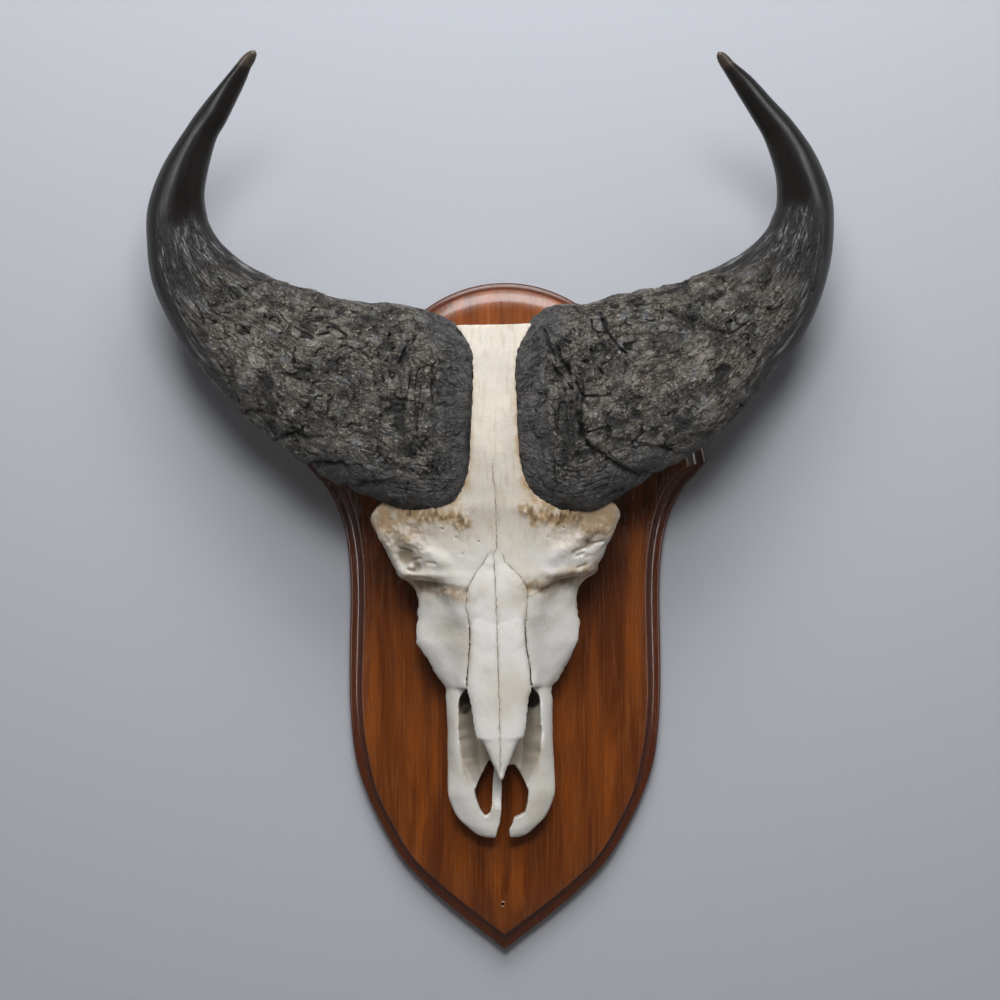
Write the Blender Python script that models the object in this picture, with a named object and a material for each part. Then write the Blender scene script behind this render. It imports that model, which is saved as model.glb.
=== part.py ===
# Cape buffalo skull with horns on a shield plaque
#
# Frame: metres, +X to the viewer's right, +Z up, the wall is the plane y = 0 and the viewer is at -Y.
# The origin is the middle of the plaque's back face.
# Bone and horn are laid out in the skull's own axes, in millimetres: s to the right of its midline,
# h up from the saw cut at the top of the head, d out from the front of the plaque.

import math

import bmesh
import bpy
from mathutils import Matrix, Vector, noise

MM = 0.001
GAP = 0.3  # between the skull and the plaque
SEAT_GAP = 0.5  # between a horn and its seat in the bone

# Plaque, in millimetres
PLAQUE_THICK = 22.0
ARCH_CENTRE_Z = 203.0
ARCH_RADIUS = 136.0
FIELD_ARCH_RADIUS = 127.5
ARCH_END_DEG = 10.0  # where the arch meets the shoulder, above the horizontal
ARCH_STEPS = 10
# Right-hand outline from the foot of the arch to the point of the ear
SHOULDER = [(150, 215), (171, 207), (189, 194), (200, 177)]
FIELD_SHOULDER = [(140, 206), (158, 198), (172, 186), (181, 170)]
EAR = (205, 158)
FIELD_EAR = (185, 152)
# Right-hand outline from the ear down to the point at the bottom
SIDE = [
    (195, 146), (184, 134), (174, 118), (166, 99), (161, 78), (158, 52), (157, 20), (158, -30), (158, -75),
    (156, -113), (151, -148), (140, -181), (124, -214), (104, -247), (76, -277), (46, -303), (20, -323),
]
FIELD_SIDE = [
    (176, 147), (168, 139), (159, 126), (151, 104), (146, 80), (143, 54), (142, 20), (143, -30), (144, -75),
    (142, -111), (137, -143), (129, -176), (113, -210), (94, -241), (69, -266), (44, -287), (21, -305),
]
POINT = (0, -339)
FIELD_POINT = (0, -321)
# Moulded edge: share of the way from the outline to the field, and height above the back
EDGE_PROFILE = [(0.0, 0.0), (0.0, 10.0), (0.08, 12.0), (0.4, 12.8), (0.78, 16.5), (1.0, 22.0)]

# How the skull hangs on the plaque
SKULL_TILT_DEG = 1.22  # anticlockwise, seen from the front
SKULL_ORIGIN = (-13.5, 289.4)  # x and z of the middle of the saw cut

# Skull sections from the saw cut down to the tip of the muzzle:
# h, ridge d, then s and d of the plateau edge, the shoulder, the widest point and the lower side,
# then the foot's s
SECTIONS = [
    (0, 98, 36, 98, 70, 88, 88, 66, 84, 35, 76),
    (-45, 105, 32, 105, 72, 92, 92, 68, 86, 35, 78),
    (-100, 110, 32, 109, 74, 95, 92, 69, 85, 36, 76),
    (-145, 109, 38, 106, 78, 92, 92, 70, 82, 38, 72),
    (-166, 107, 46, 103, 88, 89, 106, 76, 92, 42, 76),
    (-178, 106, 50, 102, 94, 88, 118, 79, 106, 46, 84),
    (-188, 104, 50, 100, 97, 87, 122, 77, 114, 48, 92),
    (-200, 102, 48, 98, 94, 86, 117, 75, 113, 46, 96),
    (-218, 100, 44, 95, 87, 84, 108, 73, 108, 44, 94),
    (-236, 97, 38, 92, 78, 81, 99, 69, 101, 42, 90),
    (-245, 96, 41, 90, 77, 79, 94, 66, 98, 40, 90),
    (-251, 95, 45, 87, 69, 69, 85, 57, 89, 37, 84),
    (-259, 94, 44, 85, 63, 65, 78, 52, 82, 34, 79),
    (-270, 92, 38, 84, 57, 66, 76, 52, 79, 32, 76),
    (-285, 89, 32, 82, 54, 65, 78, 48, 79, 29, 74),
    (-298, 86, 28, 79, 52, 62, 80, 46, 79, 27, 72),
    (-314, 82, 28, 75, 50, 59, 78, 44, 77, 25, 68),
    (-329, 79, 28, 72, 47, 56, 70, 41, 70, 23, 62),
    (-345, 76, 29, 69, 44, 54, 61, 38, 61, 21, 55),
    (-356, 74, 30, 67, 42, 53, 54, 37, 54, 19, 50),
    (-360, 54, 31, 54, 42, 51, 53, 36, 53, 19, 49),
    (-385, 50, 34, 50, 44, 48, 52, 34, 52, 18, 47),
    (-420, 45, 34, 45, 44, 43, 52, 30, 52, 17, 47),
    (-448, 38, 32, 38, 43, 37, 53, 27, 52, 16, 47),
    (-465, 34, 30, 34, 43, 33, 53, 26, 52, 16, 46),
    (-478, 31, 27, 31, 40, 29, 49, 24, 48, 15, 43),
    (-490, 28, 22, 28, 34, 26, 43, 22, 42, 14, 38),
    (-500, 26, 16, 26, 26, 24, 33, 20, 33, 13, 29),
    (-507, 23, 11, 23, 18, 22, 24, 19, 24, 13, 21),
    (-510, 20, 8, 20, 12, 19, 16, 18, 16, 14, 14),
]
FOOT_LIFT = [(-340, GAP), (-400, 5), (-460, 9), (-500, 11), (-510, 12)]  # the palate rises off the plaque
SECTION_STEPS = 2  # rings and points from one given one to the next
PLAIN_ABOVE = -170  # no rings are added above this, where the bosses hide the bone
# Nasal bones: h, half width, ridge d
NASALS = [
    (-284, 26, 88.0), (-300, 27.5, 86.6), (-320, 28.5, 83.2), (-345, 31.5, 78.8), (-357, 32.5, 76.6),
    (-367, 29, 74.8), (-384, 27, 71.6), (-400, 25, 69.0), (-407, 24, 67.8), (-410, 15.5, 67.0),
    (-428, 10.5, 63.8), (-435, 6.5, 62.2), (-449, 1.5, 59.5),
]
NASAL_DROP = 6.0  # from the ridge to the edges
NASAL_WALL = 6.0
NASAL_CROWN = 0.72  # share of the half width where the blade starts to turn down
# Nose opening: h, half width at the top, top d, half width of the floor, floor d
OPENING = [
    (-290, 12, 64, 6, 46), (-325, 20, 64, 10, 32), (-350, 28, 63, 15, 24), (-358.5, 33.5, 64, 18, 21),
    (-366, 39, 90, 20, 19), (-384, 40.5, 90, 22, 17), (-420, 40.5, 90, 22, 16), (-440, 37, 90, 20, 16),
    (-457, 31, 90, 16, 17), (-468, 25, 90, 10, 20), (-480, 15, 90, 6, 26),
]
WALL_FOOT = 30  # from the floor up to where its walls stand straight
# Openings through the palate, as s and h
PALATE_LEFT = [(-11, -431), (-19, -445), (-27, -461), (-25.5, -469), (-22, -480), (-17, -488),
               (-12, -485), (-9.5, -476), (-8.5, -456), (-7, -440)]
PALATE_RIGHT = [(7, -438), (5, -444), (0.7, -453), (-0.8, -485), (-2.2, -495), (-4.5, -501), (-8, -516),
                (8, -516), (7, -502), (10, -497), (12, -490), (17, -488), (23, -485), (25.5, -476),
                (27.5, -462), (22, -451), (14, -437)]
# Eye sockets: centre s, h and d of the bony ring, which looks outwards and down the muzzle
EYE_CENTRE = (104, -215, 40)
EYE_TURN_DEG = 27.0
EYE_RING_RADIUS = 27.0
EYE_RING_THICK = 6.0  # half the thickness of the ring
SOCKET_HALF = (46, 23.5, 23.5)  # half sizes outwards, along the muzzle and in depth
# Hollow behind each eye, where the jaw muscle ran: centre and half sizes as s, h and d
TEMPLE_CENTRE = (116, -130, 30)
TEMPLE_HALF = (38, 42, 34)

# Horns from tip to boss: s and h of the outer edge, s and h of the inner edge, d of the edges,
# and how far the front and the back bulge from there
HORN_LEFT = [
    (-238, 253, -225, 248, 136, 7, 7), (-254, 237, -233, 233, 126, 11, 11),
    (-273, 219, -252, 201, 112, 14, 14), (-290, 201, -265, 182, 98, 17, 17),
    (-319, 163, -278, 140, 80, 22, 22), (-336, 126, -278, 115, 64, 26, 26),
    (-339, 93, -275, 104, 56, 28, 28), (-336, 54, -268, 92, 50, 31, 29), (-322, 17, -256, 79, 48, 34, 30),
    (-302, -19, -236, 64, 50, 36, 31), (-275, -52, -212, 52, 55, 38, 31), (-244, -82, -185, 43, 60, 40, 32),
    (-207, -114, -156, 33, 66, 42, 32), (-167, -143, -124, 28, 70, 44, 31),
    (-123, -165, -91, 22, 73, 46, 29), (-79, -181, -60, 17, 75, 46, 27), (-47, -181, -36, 4, 76, 44, 25),
    (-30, -169, -23, -12, 78, 41, 22), (-23, -153, -17, -26, 80, 34, 18),
]
HORN_RIGHT = [
    (237, 244, 226, 238, 136, 7, 7), (256, 230, 240, 217, 126, 11, 11), (277, 210, 256, 194, 112, 14, 14),
    (298, 190, 270, 172, 98, 17, 17), (320, 161, 281, 141, 84, 22, 22), (337, 124, 283, 115, 68, 26, 26),
    (340, 93, 280, 104, 60, 28, 28), (337, 58, 274, 91, 53, 31, 29), (325, 17, 260, 76, 49, 34, 30),
    (306, -19, 241, 63, 50, 36, 31), (277, -52, 215, 51, 54, 38, 31), (241, -91, 187, 41, 61, 40, 32),
    (209, -119, 159, 32, 66, 42, 32), (168, -141, 127, 28, 70, 44, 31), (125, -167, 97, 21, 73, 46, 29),
    (83, -185, 70, 18, 75, 46, 27), (49, -182, 46, 8, 76, 44, 25), (30, -166, 29, -12, 78, 41, 22),
    (22, -148, 22, -28, 80, 34, 18),
]
TIP_LEFT = (-220, 263, 146)
TIP_RIGHT = (222, 252, 146)
BOSS_END_LEFT = (-17.5, -85, 92)
BOSS_END_RIGHT = (18.5, -86, 92)
TIP_RINGS = 2  # rings to a station on the smooth horn
BOSS_RINGS = 3  # rings to a station on the bark
FRONT_SIDES = 14  # flats across the front of a horn
BACK_SIDES = 6
TIP_SQUARENESS = 2.0  # exponent of the section: 2 is an ellipse
BOSS_SQUARENESS = 2.9
BARK_START = 6  # the station where the smooth horn turns to bark
BARK_FADE = 3  # stations over which the bark comes to its full height
LUMP_HEIGHT = 5.0
LUMP_LENGTH = 38.0
LEDGE_HEIGHT = 4.0
LEDGE_STATIONS = 0.75  # stations to a ledge, which runs across the horn
LEDGE_WANDER = 0.9

# Brow roughness on the skull
BROW_HEIGHT = 1.8
BROW_LENGTH = 11.0
BROW_CENTRE = (95, -195)
BROW_REACH = 42.0


def clear_scene():
    for old in list(bpy.data.objects):
        bpy.data.objects.remove(old, do_unlink=True)


def finish(name, red, green, blue, roughness):
    made = bpy.data.materials.new(name)
    made.use_nodes = True
    shader = made.node_tree.nodes["Principled BSDF"]
    shader.inputs["Base Color"].default_value = (red, green, blue, 1)
    shader.inputs["Roughness"].default_value = roughness
    shader.inputs["Metallic"].default_value = 0.0
    return made


def add_object(name, mesh, collection, made_of=None):
    made = bpy.data.objects.new(name, mesh)
    collection.objects.link(made)
    if made_of:
        mesh.materials.append(made_of)
    mesh.shade_smooth()
    return made


def as_cutter(made):
    made.hide_render = True
    made.display_type = "WIRE"
    return made


def cut(target, cutter, operation="DIFFERENCE"):
    step = target.modifiers.new(cutter.name, "BOOLEAN")
    step.operation = operation
    step.solver = "EXACT"
    step.object = cutter


def between(a, b, share):
    return tuple(p + (q - p) * share for p, q in zip(a, b, strict=True))


def curve_through(rows, steps):
    """Rows of numbers with steps - 1 more between each two, on one smooth curve."""
    found = []
    for i in range(len(rows) - 1):
        before, start, end = rows[max(i - 1, 0)], rows[i], rows[i + 1]
        after = rows[min(i + 2, len(rows) - 1)]
        for k in range(steps):
            t = k / steps
            row = []
            for p, q, r, w in zip(before, start, end, after, strict=True):
                bend = (2 * p - 5 * q + 4 * r - w) * t * t + (3 * q - p - 3 * r + w) * t * t * t
                row.append(0.5 * (2 * q + (r - p) * t + bend))
            found.append(tuple(row))
    found.append(tuple(float(x) for x in rows[-1]))
    return found


def place(s, h, d):
    """A point in the skull's axes, before the skull is tilted and hung."""
    return Vector((s, -d, h)) * MM


def loft(name, rings, first_tip=None, last_tip=None):
    """A closed mesh through rings of points with the same count, closed at each end over one middle point."""
    bm = bmesh.new()
    made = [[bm.verts.new(p) for p in ring] for ring in rings]
    count = len(made[0])
    for low, high in zip(made[:-1], made[1:], strict=True):
        for i in range(count):
            j = (i + 1) % count
            bm.faces.new((low[i], low[j], high[j], high[i]))
    for ring, tip in ((made[0], first_tip), (made[-1], last_tip)):
        middle = sum((v.co for v in ring), Vector()) / count
        end = bm.verts.new(tip if tip else middle)
        for i in range(count):
            bm.faces.new((ring[i], ring[(i + 1) % count], end))
    bmesh.ops.recalc_face_normals(bm, faces=bm.faces)
    bmesh.ops.triangulate(bm, faces=bm.faces)
    mesh = bpy.data.meshes.new(name)
    bm.to_mesh(mesh)
    bm.free()
    return mesh


def prism(name, outline, low, high):
    rings = [[place(s, h, d) for s, h in outline] for d in (low, high)]
    return loft(name, rings)


def ellipsoid(name, centre, half, turn_deg=0.0):
    """An ellipsoid turned in the plane of the wall, with its half sizes as s, h and d."""
    bm = bmesh.new()
    sizes = Matrix.Diagonal((half[0] * MM, half[2] * MM, half[1] * MM, 1))
    turned = Matrix.Rotation(math.radians(turn_deg), 4, "Y")
    at = Matrix.Translation(place(*centre))
    bmesh.ops.create_uvsphere(bm, u_segments=15, v_segments=8, radius=1, matrix=at @ turned @ sizes)
    mesh = bpy.data.meshes.new(name)
    bm.to_mesh(mesh)
    bm.free()
    return mesh


def half_outline(radius, shoulder, ear, side, point):
    """The plaque's right-hand half from the top of the arch to the bottom point, as x and z."""
    found = []
    for i in range(ARCH_STEPS + 1):
        angle = math.radians(90 - (90 - ARCH_END_DEG) * i / ARCH_STEPS)
        found.append((radius * math.cos(angle), ARCH_CENTRE_Z + radius * math.sin(angle)))
    arch_foot = found.pop()
    return found + [arch_foot, *shoulder, ear, *side, point]


def full_outline(half):
    return half + [(-x, z) for x, z in reversed(half[1:-1])]


def make_plaque(collection):
    outer = full_outline(half_outline(ARCH_RADIUS, SHOULDER, EAR, SIDE, POINT))
    field = full_outline(half_outline(FIELD_ARCH_RADIUS, FIELD_SHOULDER, FIELD_EAR, FIELD_SIDE, FIELD_POINT))
    rings = []
    for share, height in EDGE_PROFILE:
        ring = [between(a, b, share) for a, b in zip(outer, field, strict=True)]
        rings.append([Vector((x, -height, z)) * MM for x, z in ring])
    mesh = loft("plaque", rings)
    wood = finish("varnished_mahogany", 0.16, 0.055, 0.022, 0.35)
    made = add_object("plaque", mesh, collection, wood)
    mesh.set_sharp_from_angle(angle=math.radians(40))
    return made


def foot_height(h):
    """How far the skull's back stands off the plaque at this height."""
    if h >= FOOT_LIFT[0][0]:
        return GAP
    for (top, a), (low, b) in zip(FOOT_LIFT[:-1], FOOT_LIFT[1:], strict=True):
        if h >= low:
            return a + (b - a) * (top - h) / (top - low)
    return FOOT_LIFT[-1][1]


def skull_ring(row):
    h, ridge, s1, d1, s2, d2, s3, d3, s4, d4, foot = row
    low = foot_height(h)
    half = [(0, ridge), (s1, d1), (s2, d2), (s3, d3), (s4, d4), (foot, low)]
    mirrored = [(-s, d) for s, d in half[1:3]]
    rounded = curve_through([mirrored[0], *half], SECTION_STEPS)[SECTION_STEPS:]
    right = [place(s, h, max(d, low)) for s, d in rounded]
    left = [Vector((-p.x, p.y, p.z)) for p in reversed(right[1:])]
    return right + [place(0, h, low)] + left


def make_skull_body(collection, bone):
    rows = curve_through(SECTIONS, SECTION_STEPS)
    rings = [skull_ring(row) for i, row in enumerate(rows) if row[0] < PLAIN_ABOVE or i % SECTION_STEPS == 0]
    mesh = loft("skull", rings)
    return add_object("skull", mesh, collection, bone)


def make_nasals(cutters):
    """The two nasal bones as one arched blade that reaches over the opening."""
    rings = []
    for h, half, ridge in NASALS:
        edge = ridge - NASAL_DROP
        drop = NASAL_DROP * 0.3
        crown = half * NASAL_CROWN
        top = [(-half, edge), (-crown, ridge - drop), (0, ridge), (crown, ridge - drop), (half, edge)]
        low = [(half * 0.8, edge - 2), (0, ridge - NASAL_WALL), (-half * 0.8, edge - 2)]
        rings.append([place(s, h, d) for s, d in top + low])
    return as_cutter(add_object("nasals", loft("nasals", rings), cutters))


def make_opening(cutters):
    rings = []
    for h, top_half, top, floor_half, floor in curve_through(OPENING, SECTION_STEPS):
        wall = min(top, floor + WALL_FOOT)
        corners = [(-floor_half, floor), (floor_half, floor), (top_half, wall), (top_half, top)]
        corners += [(-top_half, top), (-top_half, wall)]
        rings.append([place(s, h, d) for s, d in corners])
    return as_cutter(add_object("nose_opening", loft("nose_opening", rings), cutters))


def make_eye(side, mark, cutters):
    """The raised bony ring of one eye, its socket and the hollow behind it. side is -1 or 1."""
    s, h, d = EYE_CENTRE
    turn = math.radians(EYE_TURN_DEG)
    bpy.ops.mesh.primitive_torus_add(
        major_radius=EYE_RING_RADIUS * MM,
        minor_radius=EYE_RING_THICK * MM,
        major_segments=15,
        minor_segments=6,
        location=place(side * s, h, d),
        rotation=(0, math.pi / 2 + side * turn, 0),
    )
    ring = bpy.context.object
    ring.name = f"eye_ring_{mark}"
    for group in list(ring.users_collection):
        group.objects.unlink(ring)
    cutters.objects.link(ring)
    middle = (side * s, h, d)
    socket = ellipsoid(f"socket_{mark}", middle, SOCKET_HALF, side * EYE_TURN_DEG)
    temple = ellipsoid(f"temple_{mark}", (side * TEMPLE_CENTRE[0], *TEMPLE_CENTRE[1:]), TEMPLE_HALF)
    made = [add_object(mesh.name, mesh, cutters) for mesh in (socket, temple)]
    return [as_cutter(piece) for piece in (ring, *made)]


def roughen_brow(mesh):
    """Low knots of bone over the eyes, as on an old bull."""
    bm = bmesh.new()
    bm.from_mesh(mesh)
    bm.normal_update()
    for v in bm.verts:
        away = math.hypot(abs(v.co.x) / MM - BROW_CENTRE[0], v.co.z / MM - BROW_CENTRE[1])
        if away < BROW_REACH and -v.co.y > 60 * MM:
            share = 1 - away / BROW_REACH
            v.co += v.normal * BROW_HEIGHT * MM * share * noise.noise(v.co / (BROW_LENGTH * MM)) * 2
    bm.to_mesh(mesh)
    bm.free()


def horn_rows(stations):
    """The stations of a horn with more between them, each with its place in the list at its end."""
    rows = [row + (i,) for i, row in enumerate(stations)]
    smooth = curve_through(rows, TIP_RINGS)[: BARK_START * TIP_RINGS]
    return smooth + curve_through(rows, BOSS_RINGS)[BARK_START * BOSS_RINGS :]


def horn_angles():
    front = [math.pi * k / FRONT_SIDES for k in range(FRONT_SIDES)]
    return front + [math.pi * (1 + k / BACK_SIDES) for k in range(BACK_SIDES)]


def horn_rings(stations):
    """The rings of a horn sheath from tip to boss."""
    rings = []
    for so, ho, si, hi, d, front, back, at in horn_rows(stations):
        middle = Vector(((so + si) / 2, (ho + hi) / 2))
        across = Vector((so - si, ho - hi)) / 2
        reach = across.length
        across.normalize()
        share = min(max((at - BARK_START) / (len(stations) - BARK_START), 0), 1)
        power = 2 / (TIP_SQUARENESS + (BOSS_SQUARENESS - TIP_SQUARENESS) * share)
        ring = []
        for angle in horn_angles():
            wide, deep = math.cos(angle), math.sin(angle)
            wide = math.copysign(abs(wide) ** power, wide)
            deep = math.copysign(abs(deep) ** power, deep)
            bulge = front if deep > 0 else back
            flat = middle + across * wide * reach
            ring.append(place(flat.x, flat.y, d + deep * bulge))
        rings.append(ring)
    return rings


def bark_height(point, at, angle):
    """How far the bark stands out: soft lumps, and ledges that run across the horn."""
    weight = min(max((at - BARK_START) / BARK_FADE, 0), 1)
    lump = noise.noise(point / (LUMP_LENGTH * MM))
    wander = LEDGE_WANDER * noise.noise(point / (2 * LUMP_LENGTH * MM) + Vector((7, 3, 5)))
    turn = at / LEDGE_STATIONS + wander
    ledge = (turn - math.floor(turn)) - 0.5
    facing = max(math.sin(angle), 0)
    return weight * (LUMP_HEIGHT * lump + LEDGE_HEIGHT * ledge * facing)


def bark(mesh, rows):
    """Lumps and ledges that fade out towards the smooth tip."""
    angles = horn_angles()
    outwards = [v.normal.copy() for v in mesh.vertices]
    for v, normal in zip(mesh.vertices, outwards, strict=True):
        ring, side = divmod(v.index, len(angles))
        if ring < len(rows):
            v.co += normal * bark_height(v.co, rows[ring][-1], angles[side]) * MM


def make_horn(name, stations, tip, boss_end, collection, cutters, horn):
    """A horn, and a cutter a little larger that makes its seat in the bone."""
    rings = horn_rings(stations)
    mesh = loft(name, rings, first_tip=place(*tip), last_tip=place(*boss_end))
    bark(mesh, horn_rows(stations))
    seat = mesh.copy()
    seat.name = name + "_seat"
    outwards = [v.normal.copy() for v in seat.vertices]
    for v, normal in zip(seat.vertices, outwards, strict=True):
        v.co += normal * SEAT_GAP * MM
    made = add_object(name, mesh, collection, horn)
    return made, as_cutter(add_object(seat.name, seat, cutters))


def hang(pieces, hanger):
    for piece in pieces:
        piece.parent = hanger


def main():
    clear_scene()
    trophy = bpy.data.collections.new("cape_buffalo_skull")
    cutters = bpy.data.collections.new("cutters")
    for group in (trophy, cutters):
        bpy.context.scene.collection.children.link(group)

    make_plaque(trophy)

    bone = finish("bleached_bone", 0.78, 0.72, 0.62, 0.6)
    horn = finish("horn_sheath", 0.035, 0.032, 0.03, 0.55)
    skull = make_skull_body(trophy, bone)
    roughen_brow(skull.data)
    nasals = make_nasals(cutters)
    opening = make_opening(cutters)
    cut(skull, opening)
    cut(skull, nasals, "UNION")
    hung = [skull, nasals, opening]
    for name, outline in (("palate_left", PALATE_LEFT), ("palate_right", PALATE_RIGHT)):
        hole = as_cutter(add_object(name, prism(name, outline, -5, 48), cutters))
        cut(skull, hole)
        hung.append(hole)
    for side, mark in ((-1, "left"), (1, "right")):
        ring, socket, temple = make_eye(side, mark, cutters)
        cut(skull, ring, "UNION")
        cut(skull, socket)
        cut(skull, temple)
        hung += [ring, socket, temple]
    for name, stations, tip, end in (
        ("horn_left", HORN_LEFT, TIP_LEFT, BOSS_END_LEFT),
        ("horn_right", HORN_RIGHT, TIP_RIGHT, BOSS_END_RIGHT),
    ):
        made, seat = make_horn(name, stations, tip, end, trophy, cutters, horn)
        cut(skull, seat)
        hung += [made, seat]

    hanger = bpy.data.objects.new("skull_hanger", None)
    trophy.objects.link(hanger)
    hanger.location = Vector((SKULL_ORIGIN[0], -PLAQUE_THICK, SKULL_ORIGIN[1])) * MM
    hanger.rotation_euler = (0, -math.radians(SKULL_TILT_DEG), 0)
    hang(hung, hanger)


main()
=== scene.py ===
# Cape buffalo skull with horns on a shield plaque: the finished surfaces
#
# Frame: metres, +X to the viewer's right, +Z up, the wall is the plane y = 0 and the viewer is at -Y.
# Bone and horn are shaped in the skull's own axes, in millimetres, and then hung on the plaque:
# s to the right of the midline, h up from the saw cut at the top of the head, d out from the plaque.

import itertools
import math

import bpy
import numpy as np
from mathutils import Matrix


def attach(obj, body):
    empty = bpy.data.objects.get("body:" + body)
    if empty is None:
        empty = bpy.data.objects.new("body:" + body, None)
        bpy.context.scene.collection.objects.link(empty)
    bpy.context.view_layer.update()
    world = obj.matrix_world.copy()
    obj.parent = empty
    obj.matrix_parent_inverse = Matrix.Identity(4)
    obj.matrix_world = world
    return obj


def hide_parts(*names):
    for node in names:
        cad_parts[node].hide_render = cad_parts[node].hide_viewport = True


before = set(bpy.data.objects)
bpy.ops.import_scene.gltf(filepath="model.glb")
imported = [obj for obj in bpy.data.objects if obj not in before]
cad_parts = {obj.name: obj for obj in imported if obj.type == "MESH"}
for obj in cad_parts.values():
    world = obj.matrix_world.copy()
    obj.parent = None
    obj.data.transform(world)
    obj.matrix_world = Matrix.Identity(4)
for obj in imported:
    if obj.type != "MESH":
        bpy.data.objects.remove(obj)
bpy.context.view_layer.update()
bpy.ops.object.select_all(action="DESELECT")

MM = 0.001

# How the skull hangs on the plaque
PLAQUE_THICK = 22.0
SKULL_TILT_DEG = 1.22
SKULL_ORIGIN = (-13.5, 289.4)

# Plaque, in millimetres: outline and field outline of the right-hand half, from the arch to the point
ARCH_CENTRE_Z = 203.0
ARCH_RADIUS = 136.0
FIELD_ARCH_RADIUS = 127.5
ARCH_END_DEG = 10.0
SHOULDER = [(150, 215), (171, 207), (189, 194), (200, 177)]
FIELD_SHOULDER = [(140, 206), (158, 198), (172, 186), (181, 170)]
EAR = (205, 158)
FIELD_EAR = (185, 152)
SIDE = [
    (195, 146), (184, 134), (174, 118), (166, 99), (161, 78), (158, 52), (157, 20), (158, -30), (158, -75),
    (156, -113), (151, -148), (140, -181), (124, -214), (104, -247), (76, -277), (46, -303), (20, -323),
]
FIELD_SIDE = [
    (176, 147), (168, 139), (159, 126), (151, 104), (146, 80), (143, 54), (142, 20), (143, -30), (144, -75),
    (142, -111), (137, -143), (129, -176), (113, -210), (94, -241), (69, -266), (44, -287), (21, -305),
]
POINT = (0, -339)
FIELD_POINT = (0, -321)
# Moulded edge: share of the way from the outline to the field, and height above the back
EDGE_PROFILE = [
    (0.0, 1.0), (0.0, 8.5), (0.02, 10.2), (0.07, 11.6), (0.16, 12.3), (0.3, 12.4), (0.44, 12.6),
    (0.58, 13.3), (0.7, 14.7), (0.8, 16.8), (0.87, 18.9), (0.92, 20.4), (0.96, 21.3), (1.0, 21.8),
    (1.04, 22.0),
]
FIELD_MIDDLE = (0, 100)  # every point of the outline can be seen from here
NAIL_HOLE = (-2.1, -290.3)  # x and z of the small hole near the bottom point
NAIL_RADIUS = 1.5

# Skull sections from the saw cut down to the tip of the muzzle:
# h, ridge d, then s and d of the plateau edge, the shoulder, the widest point and the lower side,
# then the foot's s
SECTIONS = [
    (0, 98, 36, 98, 70, 88, 88, 66, 84, 35, 76),
    (-45, 105, 32, 105, 72, 92, 92, 68, 86, 35, 78),
    (-100, 110, 32, 109, 74, 95, 92, 69, 85, 36, 76),
    (-145, 109, 38, 106, 78, 92, 92, 70, 82, 38, 72),
    (-166, 107, 46, 103, 88, 89, 106, 76, 92, 42, 76),
    (-178, 106, 50, 102, 94, 88, 118, 79, 106, 46, 84),
    (-188, 104, 50, 100, 97, 87, 122, 77, 114, 48, 92),
    (-200, 102, 48, 98, 94, 86, 117, 75, 113, 46, 96),
    (-218, 100, 44, 95, 87, 84, 108, 73, 108, 44, 94),
    (-236, 97, 38, 92, 78, 81, 99, 69, 101, 42, 90),
    (-245, 96, 41, 90, 77, 79, 94, 66, 98, 40, 90),
    (-251, 95, 45, 87, 69, 69, 85, 57, 89, 37, 84),
    (-259, 94, 44, 85, 63, 65, 78, 52, 82, 34, 79),
    (-270, 92, 38, 84, 57, 66, 76, 52, 79, 32, 76),
    (-285, 89, 32, 82, 54, 65, 78, 48, 79, 29, 74),
    (-298, 86, 28, 79, 52, 62, 80, 46, 79, 27, 72),
    (-314, 82, 28, 75, 50, 59, 78, 44, 77, 25, 68),
    (-329, 79, 28, 72, 47, 56, 70, 41, 70, 23, 62),
    (-345, 76, 29, 69, 44, 54, 61, 38, 61, 21, 55),
    (-356, 74, 30, 67, 42, 53, 54, 37, 54, 19, 50),
    (-360, 54, 31, 54, 42, 51, 53, 36, 53, 19, 49),
    (-385, 50, 34, 50, 44, 48, 52, 34, 52, 18, 47),
    (-420, 45, 34, 45, 44, 43, 52, 30, 52, 17, 47),
    (-448, 38, 32, 38, 43, 37, 53, 27, 52, 16, 47),
    (-465, 34, 30, 34, 43, 33, 53, 26, 52, 16, 46),
    (-478, 31, 27, 31, 40, 29, 49, 24, 48, 15, 43),
    (-490, 28, 22, 28, 34, 26, 43, 22, 42, 14, 38),
    (-500, 26, 16, 26, 26, 24, 33, 20, 33, 13, 29),
    (-507, 23, 11, 23, 18, 22, 24, 19, 24, 13, 21),
    (-510, 20, 8, 20, 12, 19, 16, 18, 16, 14, 14),
]
FOOT_LIFT = [(-510, 12), (-500, 11), (-460, 9), (-400, 5), (-340, 0.3)]
NASALS = [
    (-284, 26, 88.0), (-300, 27.5, 86.6), (-320, 28.5, 83.2), (-345, 31.5, 78.8), (-357, 32.5, 76.6),
    (-367, 29.5, 74.8), (-384, 27.5, 71.6), (-398, 25.5, 69.2), (-406, 23.5, 68.0), (-409.5, 18.5, 67.2),
    (-419, 14, 65.4), (-430, 9.5, 63.2), (-437, 6, 61.6), (-449, 2, 59.5),
]
NASAL_DROP = 6.0
NASAL_WALL = 6.0
OPENING = [
    (-290, 12, 64, 6, 46), (-325, 20, 64, 10, 32), (-350, 28, 63, 15, 24), (-358.5, 33.5, 64, 18, 21),
    (-366, 39, 90, 20, 19), (-384, 40.5, 90, 22, 17), (-420, 40.5, 90, 22, 16), (-440, 37, 90, 20, 16),
    (-457, 31, 90, 16, 17), (-468, 25, 90, 10, 20), (-480, 15, 90, 6, 26),
]
WALL_FOOT = 30
PALATE_LEFT = [(-11, -431), (-19, -445), (-27, -461), (-25.5, -469), (-22, -480), (-17, -488),
               (-12, -485), (-9.5, -476), (-8.5, -456), (-7, -440)]
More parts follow.
